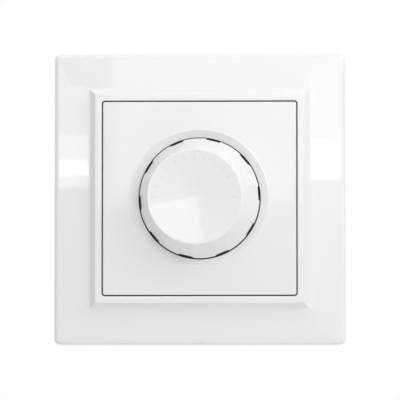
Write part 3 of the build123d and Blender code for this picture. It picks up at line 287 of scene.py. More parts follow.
def build_cover_frame(material):
    """One closed section carried round rings of a rounded square. The section runs up the drafted
    side, over its rounded shoulder, along the slightly crowned face, up the mitred bevel, across the
    crest, down into the opening, round the ledge and back inside the hollow. Each stop has its own
    corner radius, which swells by a sine across the face so that the sides blend into each other,
    and the side wall is pushed in where the two pry notches are."""
    stops = [
        (FRAME_HALF, 0, 0.15, FRAME_CORNER),
        (SHOULDER_HALF, SHOULDER_HEIGHT, SHOULDER_RADIUS, FRAME_CORNER),
        (FOOT_HALF, FOOT_HEIGHT, FOOT_RADIUS, CREST_CORNER),
        (CREST_HALF, CREST_HEIGHT, CREST_RADIUS, CREST_CORNER),
        (OPENING_HALF, CREST_HEIGHT, CREST_RADIUS, OPENING_CORNER),
        (OPENING_HALF, LEDGE_HEIGHT, 0, OPENING_CORNER),
        (LEDGE_HALF, LEDGE_HEIGHT, INNER_ROUND, OPENING_CORNER),
        (LEDGE_HALF, LEDGE_BOTTOM, INNER_ROUND, OPENING_CORNER),
        (CORE_HALF, LEDGE_BOTTOM, INNER_ROUND, CREST_CORNER),
        (CORE_HALF, CORE_TOP, 0, CREST_CORNER),
        (FOOT_HALF - FRAME_WALL, FOOT_HEIGHT - FRAME_WALL, 0, CREST_CORNER),
        (SHOULDER_HALF - FRAME_WALL, SHOULDER_HEIGHT - FRAME_WALL, 0.4, CREST_CORNER),
        (FRAME_HALF - FRAME_WALL, 0, INNER_ROUND, CREST_CORNER),
    ]
    face_rows, corner_tightening, short_of_foot = 14, 0.9, (1.0, -0.1)
    line, corner = [], []
    for i, (x, y, radius, bend) in enumerate(stops):
        before, after = stops[i - 1], stops[(i + 1) % len(stops)]
        part = rounded_corner(before[:2], (x, y), after[:2], radius) if radius else [(x, y)]
        if i == 1:
            spread = np.linspace(FRAME_CORNER, FRAME_CORNER - corner_tightening, len(part))
            line += part
            corner += spread.tolist()
            share = np.linspace(0, 1, face_rows)[1:-1]
            start, end = np.array(part[-1]), np.array(stops[2][:2]) + short_of_foot
            face = start + share[:, None] * (end - start)
            face[:, 1] += FACE_BULGE * 4 * share * (1 - share)
            line += face.tolist()
            swell = FACE_CORNER * np.sin(math.pi * share)
            corner += (spread[-1] + share * (CREST_CORNER - spread[-1]) + swell).tolist()
        else:
            line += part
            corner += [bend] * len(part)
        if i == 0:
            line += [(FRAME_HALF, NOTCH_HEIGHT), (FRAME_HALF, NOTCH_HEIGHT + NOTCH_STEP)]
            corner += [bend] * 2
    line = np.array(line)
    flat = square_rings(line[:, 0], corner)
    height = np.repeat(line[:, 1][:, None], flat.shape[1], 1)
    spare = 0.01
    outer = (np.abs(flat[..., 0]) > FRAME_HALF - NOTCH_DEPTH) & (height <= NOTCH_HEIGHT + spare)
    notched = outer & (np.abs(flat[..., 1] - NOTCH_PLACE) <= NOTCH_HALF + spare)
    flat[..., 0] -= np.where(notched, NOTCH_DEPTH * np.sign(flat[..., 0]), 0)
    points = lift(flat, height).reshape(-1, 3)
    faces = outward(points, ring_faces(len(line), flat.shape[1], wrap_rows=True))
    piece = make_mesh("cover_frame", points, faces, "root", material)
    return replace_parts(piece, "outer_frame")


def build_frame_ribs(material):
    """Three webs on each side, across the hollow behind the face: boxes from the ledge out into the
    side wall. Towards the ledge they end a little short of the face's sloping back."""
    inner, outer = CORE_HALF - RIB_SINK, FRAME_HALF - FRAME_WALL + RIB_SINK
    top = SHOULDER_HEIGHT - FRAME_WALL + FRAME_RIB_RISE
    pieces = []
    for side in range(4):
        for index in (-1, 0, 1):
            turn = side * math.pi / 2
            out, along = (inner + outer) / 2, index * RIB_SPACING
            middle = (
                out * math.cos(turn) - along * math.sin(turn),
                -(RIB_BOTTOM + top) / 2,
                out * math.sin(turn) + along * math.cos(turn),
            )
            pieces.append((middle, ((outer - inner) / 2, (top - RIB_BOTTOM) / 2, RIB_HALF), turn))
    points, faces = boxes(pieces)
    return make_mesh("frame_ribs", points, faces, "root", material)


def build_plate(material):
    """Rings that are circles round the well and turn into rounded squares at the edge. Every ring
    has the same stations: on a circle each lies in the direction of the square's own station. The
    closed section runs from the bush hole over the well's floor and wall, up the sink, over its
    bead, along the face, round the edge, and back along the spigot, the underside and the boss."""
    sink = [
        (BUSH_HOLE, WELL_FLOOR, 0.1), (WELL_RADIUS, WELL_FLOOR, 0.3), (WELL_RADIUS, SINK_BOTTOM, 0.08),
        (SINK_RADIUS, PLATE_HEIGHT, 0.12),
    ]
    rounds = []
    for i, (r, h, radius) in enumerate(sink):
        before = sink[i - 1][:2] if i else (BUSH_HOLE, BOSS_BACK)
        after = sink[i + 1][:2] if i + 1 < len(sink) else (SINK_RADIUS + 5, PLATE_HEIGHT)
        rounds += rounded_corner(before, (r, h), after, radius)
    share = np.linspace(0, 1, 9)[1:]
    bead_start = rounds[-1][0]
    rounds += [
        (bead_start + BEAD_WIDTH * s, PLATE_HEIGHT + BEAD_HEIGHT * math.sin(math.pi * s)) for s in share
    ]
    rounds += [(SINK_RADIUS + 1.0, PLATE_HEIGHT), (SINK_RADIUS + 2.0, PLATE_HEIGHT)]
    squares = [(PLATE_HALF - 1.2, PLATE_HEIGHT, PLATE_CORNER)]
    edge = arc((PLATE_HALF - PLATE_EDGE, PLATE_HEIGHT - PLATE_EDGE), PLATE_EDGE, 90, 0, 6)
    squares += [(w, h, PLATE_CORNER + min(0, w - PLATE_HALF)) for w, h in edge]
    squares += [
        (PLATE_HALF, LEDGE_HEIGHT, PLATE_CORNER), (SPIGOT_HALF, LEDGE_HEIGHT, PLATE_CORNER),
        (SPIGOT_HALF, SPIGOT_BOTTOM, PLATE_CORNER), (SPIGOT_INSIDE, SPIGOT_BOTTOM, 0.2),
        (SPIGOT_INSIDE, PLATE_UNDERSIDE, 0.2),
    ]
    backs = [
        (WELL_OUTSIDE, PLATE_UNDERSIDE), (WELL_OUTSIDE, WELL_FLOOR_BACK), (BOSS_RADIUS, WELL_FLOOR_BACK),
        (BOSS_RADIUS, BOSS_BACK), (BUSH_HOLE, BOSS_BACK),
    ]
    squares, rounds, backs = (np.array(rows) for rows in (squares, rounds, backs))
    square_flat = square_rings(squares[:, 0], squares[:, 2])
    way = square_rings([PLATE_HALF], [PLATE_CORNER])[0]
    way = way / np.linalg.norm(way, axis=1)[:, None]
    flat = np.concatenate([rounds[:, 0][:, None, None] * way, square_flat, backs[:, 0][:, None, None] * way])
    height = np.concatenate([rounds[:, 1], squares[:, 1], backs[:, 1]])[:, None]
    points = lift(flat, np.repeat(height, flat.shape[1], 1)).reshape(-1, 3)
    faces = outward(points, ring_faces(len(height), flat.shape[1], wrap_rows=True))
    piece = make_mesh("plate_face", points, faces, "root", material, sharp=30)
    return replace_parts(piece, "centre_plate")


def build_plate_ribs(material):
    """Eight webs behind the plate, from the well's wall out to the spigot."""
    middle_height = -(SPIGOT_BOTTOM + PLATE_UNDERSIDE + PLATE_RIB_RISE) / 2
    half_height = (PLATE_UNDERSIDE + PLATE_RIB_RISE - SPIGOT_BOTTOM) / 2
    pieces = []
    for eighth in range(8):
        turn = eighth * math.pi / 4
        inner = WELL_OUTSIDE - RIB_SINK
        outer = SPIGOT_INSIDE + RIB_SINK
        if eighth % 2:
            outer = outer / math.cos(math.pi / 4) - DIAGONAL_RIB_CUT
        out = (inner + outer) / 2
        middle = (out * math.cos(turn), middle_height, out * math.sin(turn))
        pieces.append((middle, ((outer - inner) / 2, half_height, RIB_HALF), turn))
    points, faces = boxes(pieces)
    return make_mesh("plate_ribs", points, faces, "root", material)


# Angles round the knob, closer together where a grip notch begins and ends
GRIP_EDGE = math.degrees(math.asin(GRIP_HALF_WIDTH / (KNOB_RADIUS - GRIP_DEPTH)))
GRIP_STATIONS = np.unique(np.concatenate([
    np.linspace(-18, -GRIP_EDGE - 0.25, 11)[:-1],
    [-GRIP_EDGE - 0.25, -GRIP_EDGE - 0.05],
    np.linspace(-GRIP_EDGE + 0.1, GRIP_EDGE - 0.1, 12),
    [GRIP_EDGE + 0.05, GRIP_EDGE + 0.25],
    np.linspace(GRIP_EDGE + 0.25, 18, 11)[1:-1],
]))
KNOB_ANGLES = np.concatenate([
    POINTER_ANGLE + np.radians(GRIP_STATIONS + 360 / GRIP_COUNT * k) for k in range(GRIP_COUNT)
])
NOTCH_OFFSET = np.tile(np.radians(GRIP_STATIONS), GRIP_COUNT)
NOTCH_MIDDLE = KNOB_ANGLES - NOTCH_OFFSET


def slanted_side(angle, reach):
    """Distance from the knob's axis to its slanted side: the side's circle at this share of the
    height has its own radius, and its centre is shifted along X."""
    radius = KNOB_RADIUS + reach * (TOP_RADIUS - KNOB_RADIUS)
    shift = reach * TOP_SHIFT
    return shift * np.cos(angle) + np.sqrt(radius**2 - (shift * np.sin(angle)) ** 2)


def notched_side(reach):
    """The slanted side with its grip notches: inside a notch's width the distance is the smaller of
    the side's own and the flat floor's, which is the floor's distance / cos(angle from the notch's
    middle). The floor comes up to the side at the notch's reach."""
    side = slanted_side(KNOB_ANGLES, reach)
    floor_end = slanted_side(NOTCH_MIDDLE, GRIP_REACH)
    rise = max(reach, 0) / GRIP_REACH
    floor = (KNOB_RADIUS - GRIP_DEPTH) * (1 - rise) + floor_end * rise
    inside = np.abs(NOTCH_OFFSET) <= math.radians(GRIP_EDGE)
    return np.where(inside & (reach <= GRIP_REACH), np.minimum(side, floor / np.cos(NOTCH_OFFSET)), side)


def dish_height(radius):
    """Height of the dish: a shallow cone whose point is rounded by the nose's circle."""
    touch = NOSE_RADIUS * math.sin(DISH_SLOPE)
    bottom = TOP_HEIGHT - (
        NOSE_RADIUS * (1 - math.cos(DISH_SLOPE)) + (DISH_RADIUS - touch) * math.tan(DISH_SLOPE)
    )
    nose = bottom + NOSE_RADIUS - np.sqrt(NOSE_RADIUS**2 - np.minimum(radius, touch) ** 2)
    return nose + np.maximum(radius - touch, 0) * math.tan(DISH_SLOPE)


def build_knob(material):
    """Rings from the dish's middle over the lip, down the oblique fluted side to the skirt, then up
    inside it, across the cavity, down the hub and up the bore. A fan of triangles closes each end."""
    direction = np.stack([np.cos(KNOB_ANGLES), np.sin(KNOB_ANGLES)], -1)
    flat, height = [], []

    def add_ring(distance, at, shift=0.0):
        flat.append(direction * np.broadcast_to(distance, KNOB_ANGLES.shape)[:, None] + (shift, 0))
        height.append(at)

    nose_rows, cone_rows = np.linspace(0.02, 4.2, 14), np.linspace(4.8, DISH_RADIUS - 0.12, 12)
    for r in np.concatenate([nose_rows, cone_rows]):
        add_ring(r, float(dish_height(r)), TOP_SHIFT)
    in_dish = (DISH_RADIUS - 1, dish_height(DISH_RADIUS - 1))
    lip_edge = rounded_corner(in_dish, (DISH_RADIUS, TOP_HEIGHT), (TOP_RADIUS, TOP_HEIGHT), LIP_ROUND, 5)
    for r, h in lip_edge:
        add_ring(r, h, TOP_SHIFT)
    slope = math.atan2(KNOB_RADIUS - TOP_RADIUS, TOP_HEIGHT - RIM_HEIGHT)
    edge = arc((TOP_RADIUS - TOP_EDGE, TOP_HEIGHT - TOP_EDGE), TOP_EDGE, 90, math.degrees(slope), 6)
    for r, h in edge:
        reach = (h - RIM_HEIGHT) / (TOP_HEIGHT - RIM_HEIGHT)
        round_off = (TOP_RADIUS - r) + (1 - reach) * (KNOB_RADIUS - TOP_RADIUS)
        add_ring(slanted_side(KNOB_ANGLES, reach) - round_off, h)
    low_reach = (edge[-1][1] - RIM_HEIGHT) / (TOP_HEIGHT - RIM_HEIGHT)
    for reach in np.linspace(low_reach, 0, 22)[1:]:
        add_ring(notched_side(reach), RIM_HEIGHT + reach * (TOP_HEIGHT - RIM_HEIGHT))
    skirt = notched_side(0.0)
    skirt_edge = (
        (RIM_HEIGHT - 0.15, 0), (SKIRT_BOTTOM + 0.2, 0), (SKIRT_BOTTOM + 0.06, 0.06), (SKIRT_BOTTOM, 0.2),
    )
    for h, inset in skirt_edge:
        add_ring(skirt - inset, h)
    inner = KNOB_RADIUS - KNOB_WALL
    cavity_reach = (CAVITY_TOP - RIM_HEIGHT) / (TOP_HEIGHT - RIM_HEIGHT)
    add_ring(inner, SKIRT_BOTTOM)
    add_ring(inner, RIM_HEIGHT)
    add_ring(slanted_side(KNOB_ANGLES, cavity_reach) - KNOB_WALL, CAVITY_TOP)
    add_ring(HUB_RADIUS, CAVITY_TOP)
    add_ring(HUB_RADIUS, HUB_BOTTOM)
    bore = np.minimum(BORE_RADIUS, BORE_FLAT / np.maximum(np.cos(KNOB_ANGLES - POINTER_ANGLE), 1e-3))
    bore = np.where(np.cos(KNOB_ANGLES - POINTER_ANGLE) > 0, bore, BORE_RADIUS)
    add_ring(bore, HUB_BOTTOM)
    add_ring(bore, BORE_TOP)
    flat, height = np.array(flat), np.array(height)[:, None]
    points = lift(flat, np.repeat(height, len(KNOB_ANGLES), 1)).reshape(-1, 3)
    rows, columns = len(height), len(KNOB_ANGLES)
    faces = ring_faces(rows, columns)
    middle = len(points)
    points = np.concatenate([points, [(TOP_SHIFT, -float(dish_height(0.0)), 0), (0, -BORE_TOP, 0)]])
    beside = (np.arange(columns) + 1) % columns
    last = (rows - 1) * columns
    faces += [[middle, int(b), int(a)] for a, b in zip(np.arange(columns), beside)]
    faces += [[middle + 1, int(last + a), int(last + b)] for a, b in zip(np.arange(columns), beside)]
    faces = outward(points, faces)
    piece = make_mesh("dimmer_knob", points, faces, "spindle", material, sharp=28)
    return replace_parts(piece, "knob")


def build_knob_ribs(material):
    """Six webs under the knob's top: boxes from the hub out to where the wall meets the top."""
    reach = (CAVITY_TOP - RIM_HEIGHT) / (TOP_HEIGHT - RIM_HEIGHT)
    pieces = []
    for sixth in range(6):
        turn = sixth * math.pi / 3
        inner, outer = HUB_RADIUS - KNOB_RIB_HUB_SINK, float(slanted_side(turn, reach)) - KNOB_WALL + RIB_SINK
        out = (inner + outer) / 2
        middle = (out * math.cos(turn), -(CAVITY_TOP - KNOB_RIB_MIDDLE_DROP), out * math.sin(turn))
        pieces.append((middle, ((outer - inner) / 2, KNOB_RIB_HALF_DEPTH, RIB_HALF), turn))
    points, faces = boxes(pieces)
    return make_mesh("knob_ribs", points, faces, "spindle", material)


def build_pip(material):
    """A small dome in the pointer's notch: rings on an ellipsoid about the outward direction,
    with its stem sunk in the knob."""
    rise = PIP_HEIGHT - RIM_HEIGHT
    reach = rise / (TOP_HEIGHT - RIM_HEIGHT)
    floor_end = float(slanted_side(POINTER_ANGLE, GRIP_REACH))
    seat = (KNOB_RADIUS - GRIP_DEPTH) * (1 - reach / GRIP_REACH) + floor_end * reach / GRIP_REACH
    turn = np.linspace(0, 2 * math.pi, PIP_SIDES, endpoint=False)
    polar = np.radians([90, 75, 60, 45, 30, 15])
    ring_radius = [PIP_RADIUS, *(PIP_RADIUS * np.sin(polar))]
    out = [-PIP_STEM, *(PIP_RISE * np.cos(polar))]
    rings = np.array([
        np.stack([np.full(PIP_SIDES, seat + o), PIP_HEIGHT + a * np.sin(turn), a * np.cos(turn)], -1)
        for a, o in zip(ring_radius, out)
    ])
    ends = [(seat + PIP_RISE, PIP_HEIGHT, 0), (seat - PIP_STEM, PIP_HEIGHT, 0)]
    along, height, across = np.concatenate([rings.reshape(-1, 3), ends]).T
    c, s = math.cos(POINTER_ANGLE), math.sin(POINTER_ANGLE)
    points = np.stack([c * along - s * across, -height, s * along + c * across], -1)
    faces = ring_faces(len(rings), PIP_SIDES)
    top, base, last = len(points) - 2, len(points) - 1, (len(rings) - 1) * PIP_SIDES
    faces += [[top, last + i, last + (i + 1) % PIP_SIDES] for i in range(PIP_SIDES)]
    faces += [[base, (i + 1) % PIP_SIDES, i] for i in range(PIP_SIDES)]
    piece = make_mesh("pointer_dot", points, outward(points, faces), "spindle", material)
    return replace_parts(piece, "pointer_pip")


def build_dial_ticks(material):
    """A plain scale on the dish: ticks evenly spaced over its upper half, each pointing at the
    dish's middle. A tick is a closed bar whose upper and lower faces follow the dish, a little above
    and below it."""
    rows, columns = 5, 3
    length = np.linspace(-TICK_HALF_LENGTH, TICK_HALF_LENGTH, rows)
    width = np.linspace(-TICK_HALF_WIDTH, TICK_HALF_WIDTH, columns)
    along, across = np.meshgrid(length, width, indexing="ij")
    on_edge = (np.abs(along) > TICK_HALF_LENGTH - 1e-6) | (np.abs(across) > TICK_HALF_WIDTH - 1e-6)
    number = np.arange(rows * columns).reshape(rows, columns)
    sheet = np.stack([number[:-1, :-1], number[:-1, 1:], number[1:, 1:], number[1:, :-1]], -1).reshape(-1, 4)
    rim = [*number[0], *number[1:, -1], *number[-1, -2::-1], *number[-2:0:-1, 0]]
    bar_faces = [*sheet.tolist(), *(sheet[:, ::-1] + number.size).tolist()]
    bar_faces += [
        [rim[i], rim[i - 1], rim[i - 1] + number.size, rim[i] + number.size] for i in range(len(rim))
    ]
    points, faces = [], []
    for angle in np.linspace(0, math.pi, TICK_COUNT):
        out = TICK_RADIUS + along
        x = TOP_SHIFT + out * math.cos(angle) - across * math.sin(angle)
        z = out * math.sin(angle) + across * math.cos(angle)
        surface = dish_height(np.hypot(x - TOP_SHIFT, z))
        upper = np.stack([x, -(surface + np.where(on_edge, TICK_EDGE_RISE, TICK_RISE)), z], -1)
        lower = np.stack([x, -(surface - TICK_SINK), z], -1)
        bar = np.concatenate([upper.reshape(-1, 3), lower.reshape(-1, 3)])
        faces += [[v + len(points) * len(bar) for v in face] for face in outward(bar, bar_faces)]
        points.append(bar)
    points = np.concatenate(points)
    return make_mesh("dial_ticks", points, faces, "spindle", material, sharp=60)


def build_press_spring(material):
    """The push switch's coil spring: a round wire carried along a helix, radius (cos, sin) of an
    angle that grows evenly with the height. The wire's ring at each place spans the outward
    direction and its cross product with the helix's tangent."""
    low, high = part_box("switch_spring")
    start, end = low[1] / MM + COIL_WIRE, high[1] / MM - COIL_WIRE
    share = np.linspace(0, 1, COIL_STEPS * COIL_TURNS)[:, None]
    angle = 2 * math.pi * COIL_TURNS * share
    out = np.concatenate([np.cos(angle), 0 * angle, np.sin(angle)], 1)
    line = COIL_RADIUS * out + np.concatenate([0 * share, start + (end - start) * share, 0 * share], 1)
    climb = (end - start) / (2 * math.pi * COIL_TURNS)
    round_x, round_z = -COIL_RADIUS * np.sin(angle), COIL_RADIUS * np.cos(angle)
    tangent = np.concatenate([round_x, climb + 0 * angle, round_z], 1)
    beside = np.cross(out, tangent / np.linalg.norm(tangent, axis=1)[:, None])
    turn = np.linspace(0, 2 * math.pi, WIRE_SIDES, endpoint=False)[None, :, None]
    rings = line[:, None] + COIL_WIRE * (np.cos(turn) * out[:, None] + np.sin(turn) * beside[:, None])
    points = np.concatenate([rings.reshape(-1, 3), line[:1], line[-1:]])
    faces = ring_faces(len(line), WIRE_SIDES)
    first_end, last_end, last = len(points) - 2, len(points) - 1, (len(line) - 1) * WIRE_SIDES
    faces += [[first_end, (i + 1) % WIRE_SIDES, i] for i in range(WIRE_SIDES)]
    faces += [[last_end, last + i, last + (i + 1) % WIRE_SIDES] for i in range(WIRE_SIDES)]
    piece = make_mesh("press_spring", points, outward(points, faces), "root", material)
    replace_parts(piece, "switch_spring")
    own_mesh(piece)
    return piece


# Materials: shader maths is written as plain expressions on sockets


class Value:
    """A socket of a node, so that arithmetic on it adds Math nodes."""

    def __init__(self, nodes, socket):
        self.nodes, self.socket = nodes, socket

    def _maths(self, operation, first, second):
        return self.nodes.node("ShaderNodeMath", {"operation": operation}, {0: first, 1: second})

    def __add__(self, other):
        return self._maths("ADD", self, other)

    def __sub__(self, other):
        return self._maths("SUBTRACT", self, other)

    def __rsub__(self, other):
        return self._maths("SUBTRACT", other, self)

    def __mul__(self, other):
        return self._maths("MULTIPLY", self, other)

    __radd__, __rmul__ = __add__, __mul__

    def __abs__(self):
        return self._maths("ABSOLUTE", self, 0.0)

    def __pow__(self, other):
        return self._maths("POWER", self, other)

    def larger(self, other):
        return self._maths("MAXIMUM", self, other)


class Nodes:
    """A node tree while it is being made."""

    def __init__(self, tree):
        self.tree = tree
        self.tree.nodes.clear()

    def node(self, kind, settings=None, inputs=None, output=0):
        """A new node: its settings first, then the values or links of its sockets. Returns one of
        its outputs, if it has any."""
        made = self.tree.nodes.new(kind)
        for key, value in (settings or {}).items():
            setattr(made, key, value)
        for key, value in (inputs or {}).items():
            if isinstance(value, Value):
                self.tree.links.new(value.socket, made.inputs[key])
            else:
                made.inputs[key].default_value = value
        return Value(self, made.outputs[output]) if made.outputs else None


class Finish(Nodes):
    """A material while it is being made."""

    def __init__(self, name):
        self.material = bpy.data.materials.new(name)
        self.material.use_nodes = True
        super().__init__(self.material.node_tree)
        self.place = self.node("ShaderNodeTexCoord", output="Object")

    def noise(self, scale, detail=3.0, roughness=0.5, stretch=(1, 1, 1)):
        """Noise over the piece, with this many lumps a metre before it is stretched."""
        placed = self.node("ShaderNodeMapping", {}, {"Vector": self.place, "Scale": stretch})
        sockets = {"Vector": placed, "Scale": scale, "Detail": detail, "Roughness": roughness}
        return self.node("ShaderNodeTexNoise", {}, sockets, "Fac")

    def waves(self, settings, sockets):
        """Repeating rings or bands over the piece."""
        return self.node("ShaderNodeTexWave", settings, {"Vector": self.place, **sockets}, "Fac")

    def blend(self, low, high, share):
        """A colour between two, by a share that varies over the piece. Either may be a link."""
        low, high = (c if isinstance(c, Value) else (*c, 1) for c in (low, high))
        sockets = {"Factor": share, "A": low, "B": high}
        return self.node("ShaderNodeMix", {"data_type": "RGBA"}, sockets, "Result")

    def ramp(self, value, start, end):
        """0 below start, 1 past end, with an eased rise between."""
        sockets = {"Value": value, "From Min": start, "From Max": end}
        return self.node("ShaderNodeMapRange", {"interpolation_type": "SMOOTHSTEP"}, sockets)

    def band(self, distance, rise, fall):
        """1 between two edges and 0 outside them. Each edge is where it starts and ends, in mm."""
        start, end = (self.ramp(distance, edge[0] * MM, edge[1] * MM) for edge in (rise, fall))
        return start - end

    def below(self, depth, heights):
        """0 above the first height and 1 under the second, by the Y coordinate, which is -height."""
        return self.ramp(depth, -heights[0] * MM, -heights[1] * MM)

    def axes(self):
        """The three coordinates of a point on the piece, in metres."""
        parts = self.node("ShaderNodeSeparateXYZ", {}, {"Vector": self.place})
        return [Value(self, parts.socket.node.outputs[i]) for i in range(3)]

    def bump(self, height, strength, distance):
        """Relief of this depth in metres."""
        sockets = {"Height": height, "Strength": strength, "Distance": distance}
        return self.node("ShaderNodeBump", {}, sockets, "Normal")

    def close(self, **sockets):
        """The Principled shader and the output."""
        sockets = {name.replace("_", " "): value for name, value in sockets.items()}
        shader = self.node("ShaderNodeBsdfPrincipled", {}, sockets, "BSDF")
        self.node("ShaderNodeOutputMaterial", {}, {"Surface": shader})
        return self.material


def shade(colour, factor):
    """A colour made lighter or darker."""
    return tuple(min(c * factor, 1.0) for c in colour)


def moulded_white(name, colour, gloss, wave):
    """Gloss white moulding: a faint cloud in its tone and in its gloss, and the slow waviness that
    a cooled moulding has, which bends reflections. Down in the seam between plate and frame, and down
    beside the knob, the colour is darkened as painted shade with some dust, and the plastic is duller."""
    finish = Finish(name)
    cloud = finish.noise(38, 1.0)
    polish = finish.noise(240, 3.0)
    across, back, up = finish.axes()
    square_reach = abs(across).larger(abs(up))
    round_reach = (across * across + up * up) ** 0.5
    seam = finish.band(square_reach, *SEAM_SHADE_AND_DUST)
    well = finish.band(round_reach, *WELL_SHADE_AND_DUST) * finish.below(back, WELL_SHADE_AND_DUST_TOP)
    # Painted shade with some dust: a mask that deepens down in the seam and beside the knob
    shade_and_dust = finish.below(back, SEAM_SHADE_AND_DUST_TOP) * (seam + well)
    clean = finish.blend(shade(colour, 0.992), shade(colour, 1.006), cloud * 0.85 + polish * 0.15)
    # Painted shade with some dust: the colour goes most of the way to a quarter of its tone there
    tone = finish.blend(clean, shade(colour, 0.25), shade_and_dust * 0.8)
    rough = gloss + (polish - 0.5) * 0.014 + shade_and_dust * 0.3
    wavy = finish.bump(finish.noise(60, 1.0) + polish * 0.004, 0.18, wave)
    return finish.close(Base_Color=tone, Roughness=rough, Normal=wavy, IOR=1.47)


def moulded_matt(name, colour, gloss):
    """Engineering plastic from a spark-eroded mould: an even fine grain and a slight mottle."""
    finish = Finish(name)
    mottle = finish.noise(90, 3.0)
    grain = finish.noise(2600, 3.0, 0.6)
    tone = finish.blend(shade(colour, 0.88), shade(colour, 1.1), mottle)
    return finish.close(
        Base_Color=tone, Roughness=gloss + (mottle - 0.5) * 0.12, Normal=finish.bump(grain, 0.35, 0.00004)
    )


def rolled_metal(name, colour, gloss, along=(1, 1, 14)):
    """Plated or rolled metal: fine drawn lines one way, and a cloudy plating with duller patches."""
    finish = Finish(name)
    lines = finish.noise(420, 3.0, 0.6, along)
    cloud = finish.noise(150, 4.0, 0.55)
    tone = finish.blend(shade(colour, 0.8), shade(colour, 1.12), cloud * 0.7 + lines * 0.3)
    rough = gloss + (cloud - 0.5) * 0.25 + (lines - 0.5) * 0.12
    return finish.close(
        Base_Color=tone, Metallic=1.0, Roughness=rough, Normal=finish.bump(lines, 0.25, 0.00002)
    )


def turned_brass(name, colour, gloss):
    """Machined brass: turning rings about the knob's axis, with a tone and gloss that vary in patches."""
    finish = Finish(name)
    patch = finish.noise(220, 4.0)
    rings = finish.waves(
        {"wave_type": "RINGS", "rings_direction": "Y"}, {"Scale": 900.0, "Distortion": 0.6, "Detail": 1.0},
    )
    tone = finish.blend(shade(colour, 0.74), shade(colour, 1.1), patch)
    return finish.close(
        Base_Color=tone, Metallic=1.0, Roughness=gloss + (patch - 0.5) * 0.2,
        Normal=finish.bump(rings, 0.12, 0.00002),
    )


def woven_board(name, colour):
    """Glass laminate: the weave shows faintly through the lacquer in both directions."""
    finish = Finish(name)
    weave = [
        finish.waves({"bands_direction": way}, {"Scale": 330.0, "Distortion": 0.8}) for way in ("X", "Z")
    ]
    cloud = finish.noise(120, 3.0)
    share = weave[0] * 0.3 + weave[1] * 0.3 + cloud * 0.4
    tone = finish.blend(shade(colour, 0.78), shade(colour, 1.25), share)
    return finish.close(
        Base_Color=tone, Roughness=0.34 + (cloud - 0.5) * 0.15,
        Normal=finish.bump(weave[0] + weave[1], 0.2, 0.00003),
    )


def wound_copper(name, colour):
    """Enamelled wire laid side by side: close round turns, each catching the light."""
    finish = Finish(name)
    turns = finish.waves({"bands_direction": "Y"}, {"Scale": 260.0, "Distortion": 1.2, "Detail": 1.0})
    cloud = finish.noise(300, 3.0)
    tone = finish.blend(shade(colour, 0.6), shade(colour, 1.15), turns * 0.5 + cloud * 0.5)
    return finish.close(
        Base_Color=tone, Metallic=0.85, Roughness=0.28 + (cloud - 0.5) * 0.2,
        Normal=finish.bump(turns, 0.6, 0.0001),
    )


def pressed_powder(name, colour):
    """Pressed iron powder: a coarse sparkling grain."""
    finish = Finish(name)
    grain = finish.noise(1500, 5.0, 0.7)
    tone = finish.blend(shade(colour, 0.7), shade(colour, 1.35), grain)
    return finish.close(
        Base_Color=tone, Metallic=0.25, Roughness=0.62 + (grain - 0.5) * 0.3,
        Normal=finish.bump(grain, 0.5, 0.00006),
    )


def banded_lacquer(name, colour):
    """Lacquered resistor body: the lacquer's mottle over soft rings along its length."""
    finish = Finish(name)
    bands = finish.waves({"bands_direction": "X"}, {"Scale": 130.0, "Distortion": 0.3})
    mottle = finish.noise(500, 3.0)
    tone = finish.blend(shade(colour, 0.62), shade(colour, 1.2), bands * 0.6 + mottle * 0.4)
    return finish.close(
        Base_Color=tone, Roughness=0.35 + (mottle - 0.5) * 0.15, Normal=finish.bump(mottle, 0.2, 0.00004)
    )


def clear_tube(name):
    """Clear glass with faint drawing lines along the tube."""
    finish = Finish(name)
    lines = finish.noise(500, 2.0, 0.5, (1, 1, 0.08))
    tone = finish.blend((0.84, 0.9, 0.9), (0.95, 0.98, 0.98), lines)
    return finish.close(
        Base_Color=tone, Roughness=0.04 + lines * 0.04, Transmission_Weight=0.85, IOR=1.5,
        Normal=finish.bump(lines, 0.1, 0.00003),
    )


FINISHES = {
    "white_cover": moulded_white("cover_white", (0.885, 0.885, 0.885), 0.028, 0.00015),
    "white_plate": moulded_white("plate_white", (0.868, 0.868, 0.868), 0.055, 0.00015),
    "white_knob": moulded_white("knob_white", (0.885, 0.885, 0.885), 0.07, 0.00015),
    "tick_white": moulded_white("tick_white", (0.80, 0.80, 0.80), 0.2, 0.0001),
    "pip_white": moulded_white("pip_white", (0.93, 0.93, 0.93), 0.3, 0.0002),
    "grey_plastic": moulded_matt("grey_moulding", (0.5, 0.51, 0.53), 0.5),
    "black_plastic": moulded_matt("black_moulding", (0.045, 0.045, 0.05), 0.42),
    "zinc_steel": rolled_metal("zinc_plate", (0.72, 0.72, 0.7), 0.34),
    "spring_steel": rolled_metal("spring_steel", (0.6, 0.61, 0.63), 0.25),
    "brass": turned_brass("turned_brass", (0.78, 0.6, 0.3), 0.26),
    "aluminium": rolled_metal("turned_aluminium", (0.8, 0.81, 0.82), 0.3, (1, 14, 1)),
    "board": woven_board("board_green", (0.1, 0.22, 0.09)),
    "phenolic": woven_board("track_brown", (0.3, 0.17, 0.08)),
    "copper": wound_copper("copper_wire", (0.72, 0.34, 0.16)),
    "ferrite": pressed_powder("iron_powder", (0.2, 0.2, 0.21)),
    "film_yellow": moulded_matt("film_case_yellow", (0.72, 0.5, 0.06), 0.36),
    "resistor_body": banded_lacquer("resistor_lacquer", (0.55, 0.42, 0.24)),
    "fuse_glass": clear_tube("clear_glass"),
    "mica": moulded_matt("pad_grey", (0.6, 0.58, 0.54), 0.6),
}

slot_of = {part["node"]: part["material_slot"] for part in frame["record"]["subparts"]}
for node_name, node in frame["nodes"].items():
    node.data.materials.clear()
    node.data.materials.append(FINISHES[slot_of[node_name]])

build_cover_frame(FINISHES["white_cover"])
build_frame_ribs(FINISHES["white_cover"])
build_plate(FINISHES["white_plate"])
build_plate_ribs(FINISHES["white_plate"])
build_knob(FINISHES["white_knob"])
build_knob_ribs(FINISHES["white_knob"])
build_pip(FINISHES["pip_white"])
build_dial_ticks(FINISHES["tick_white"])
build_press_spring(FINISHES["spring_steel"])


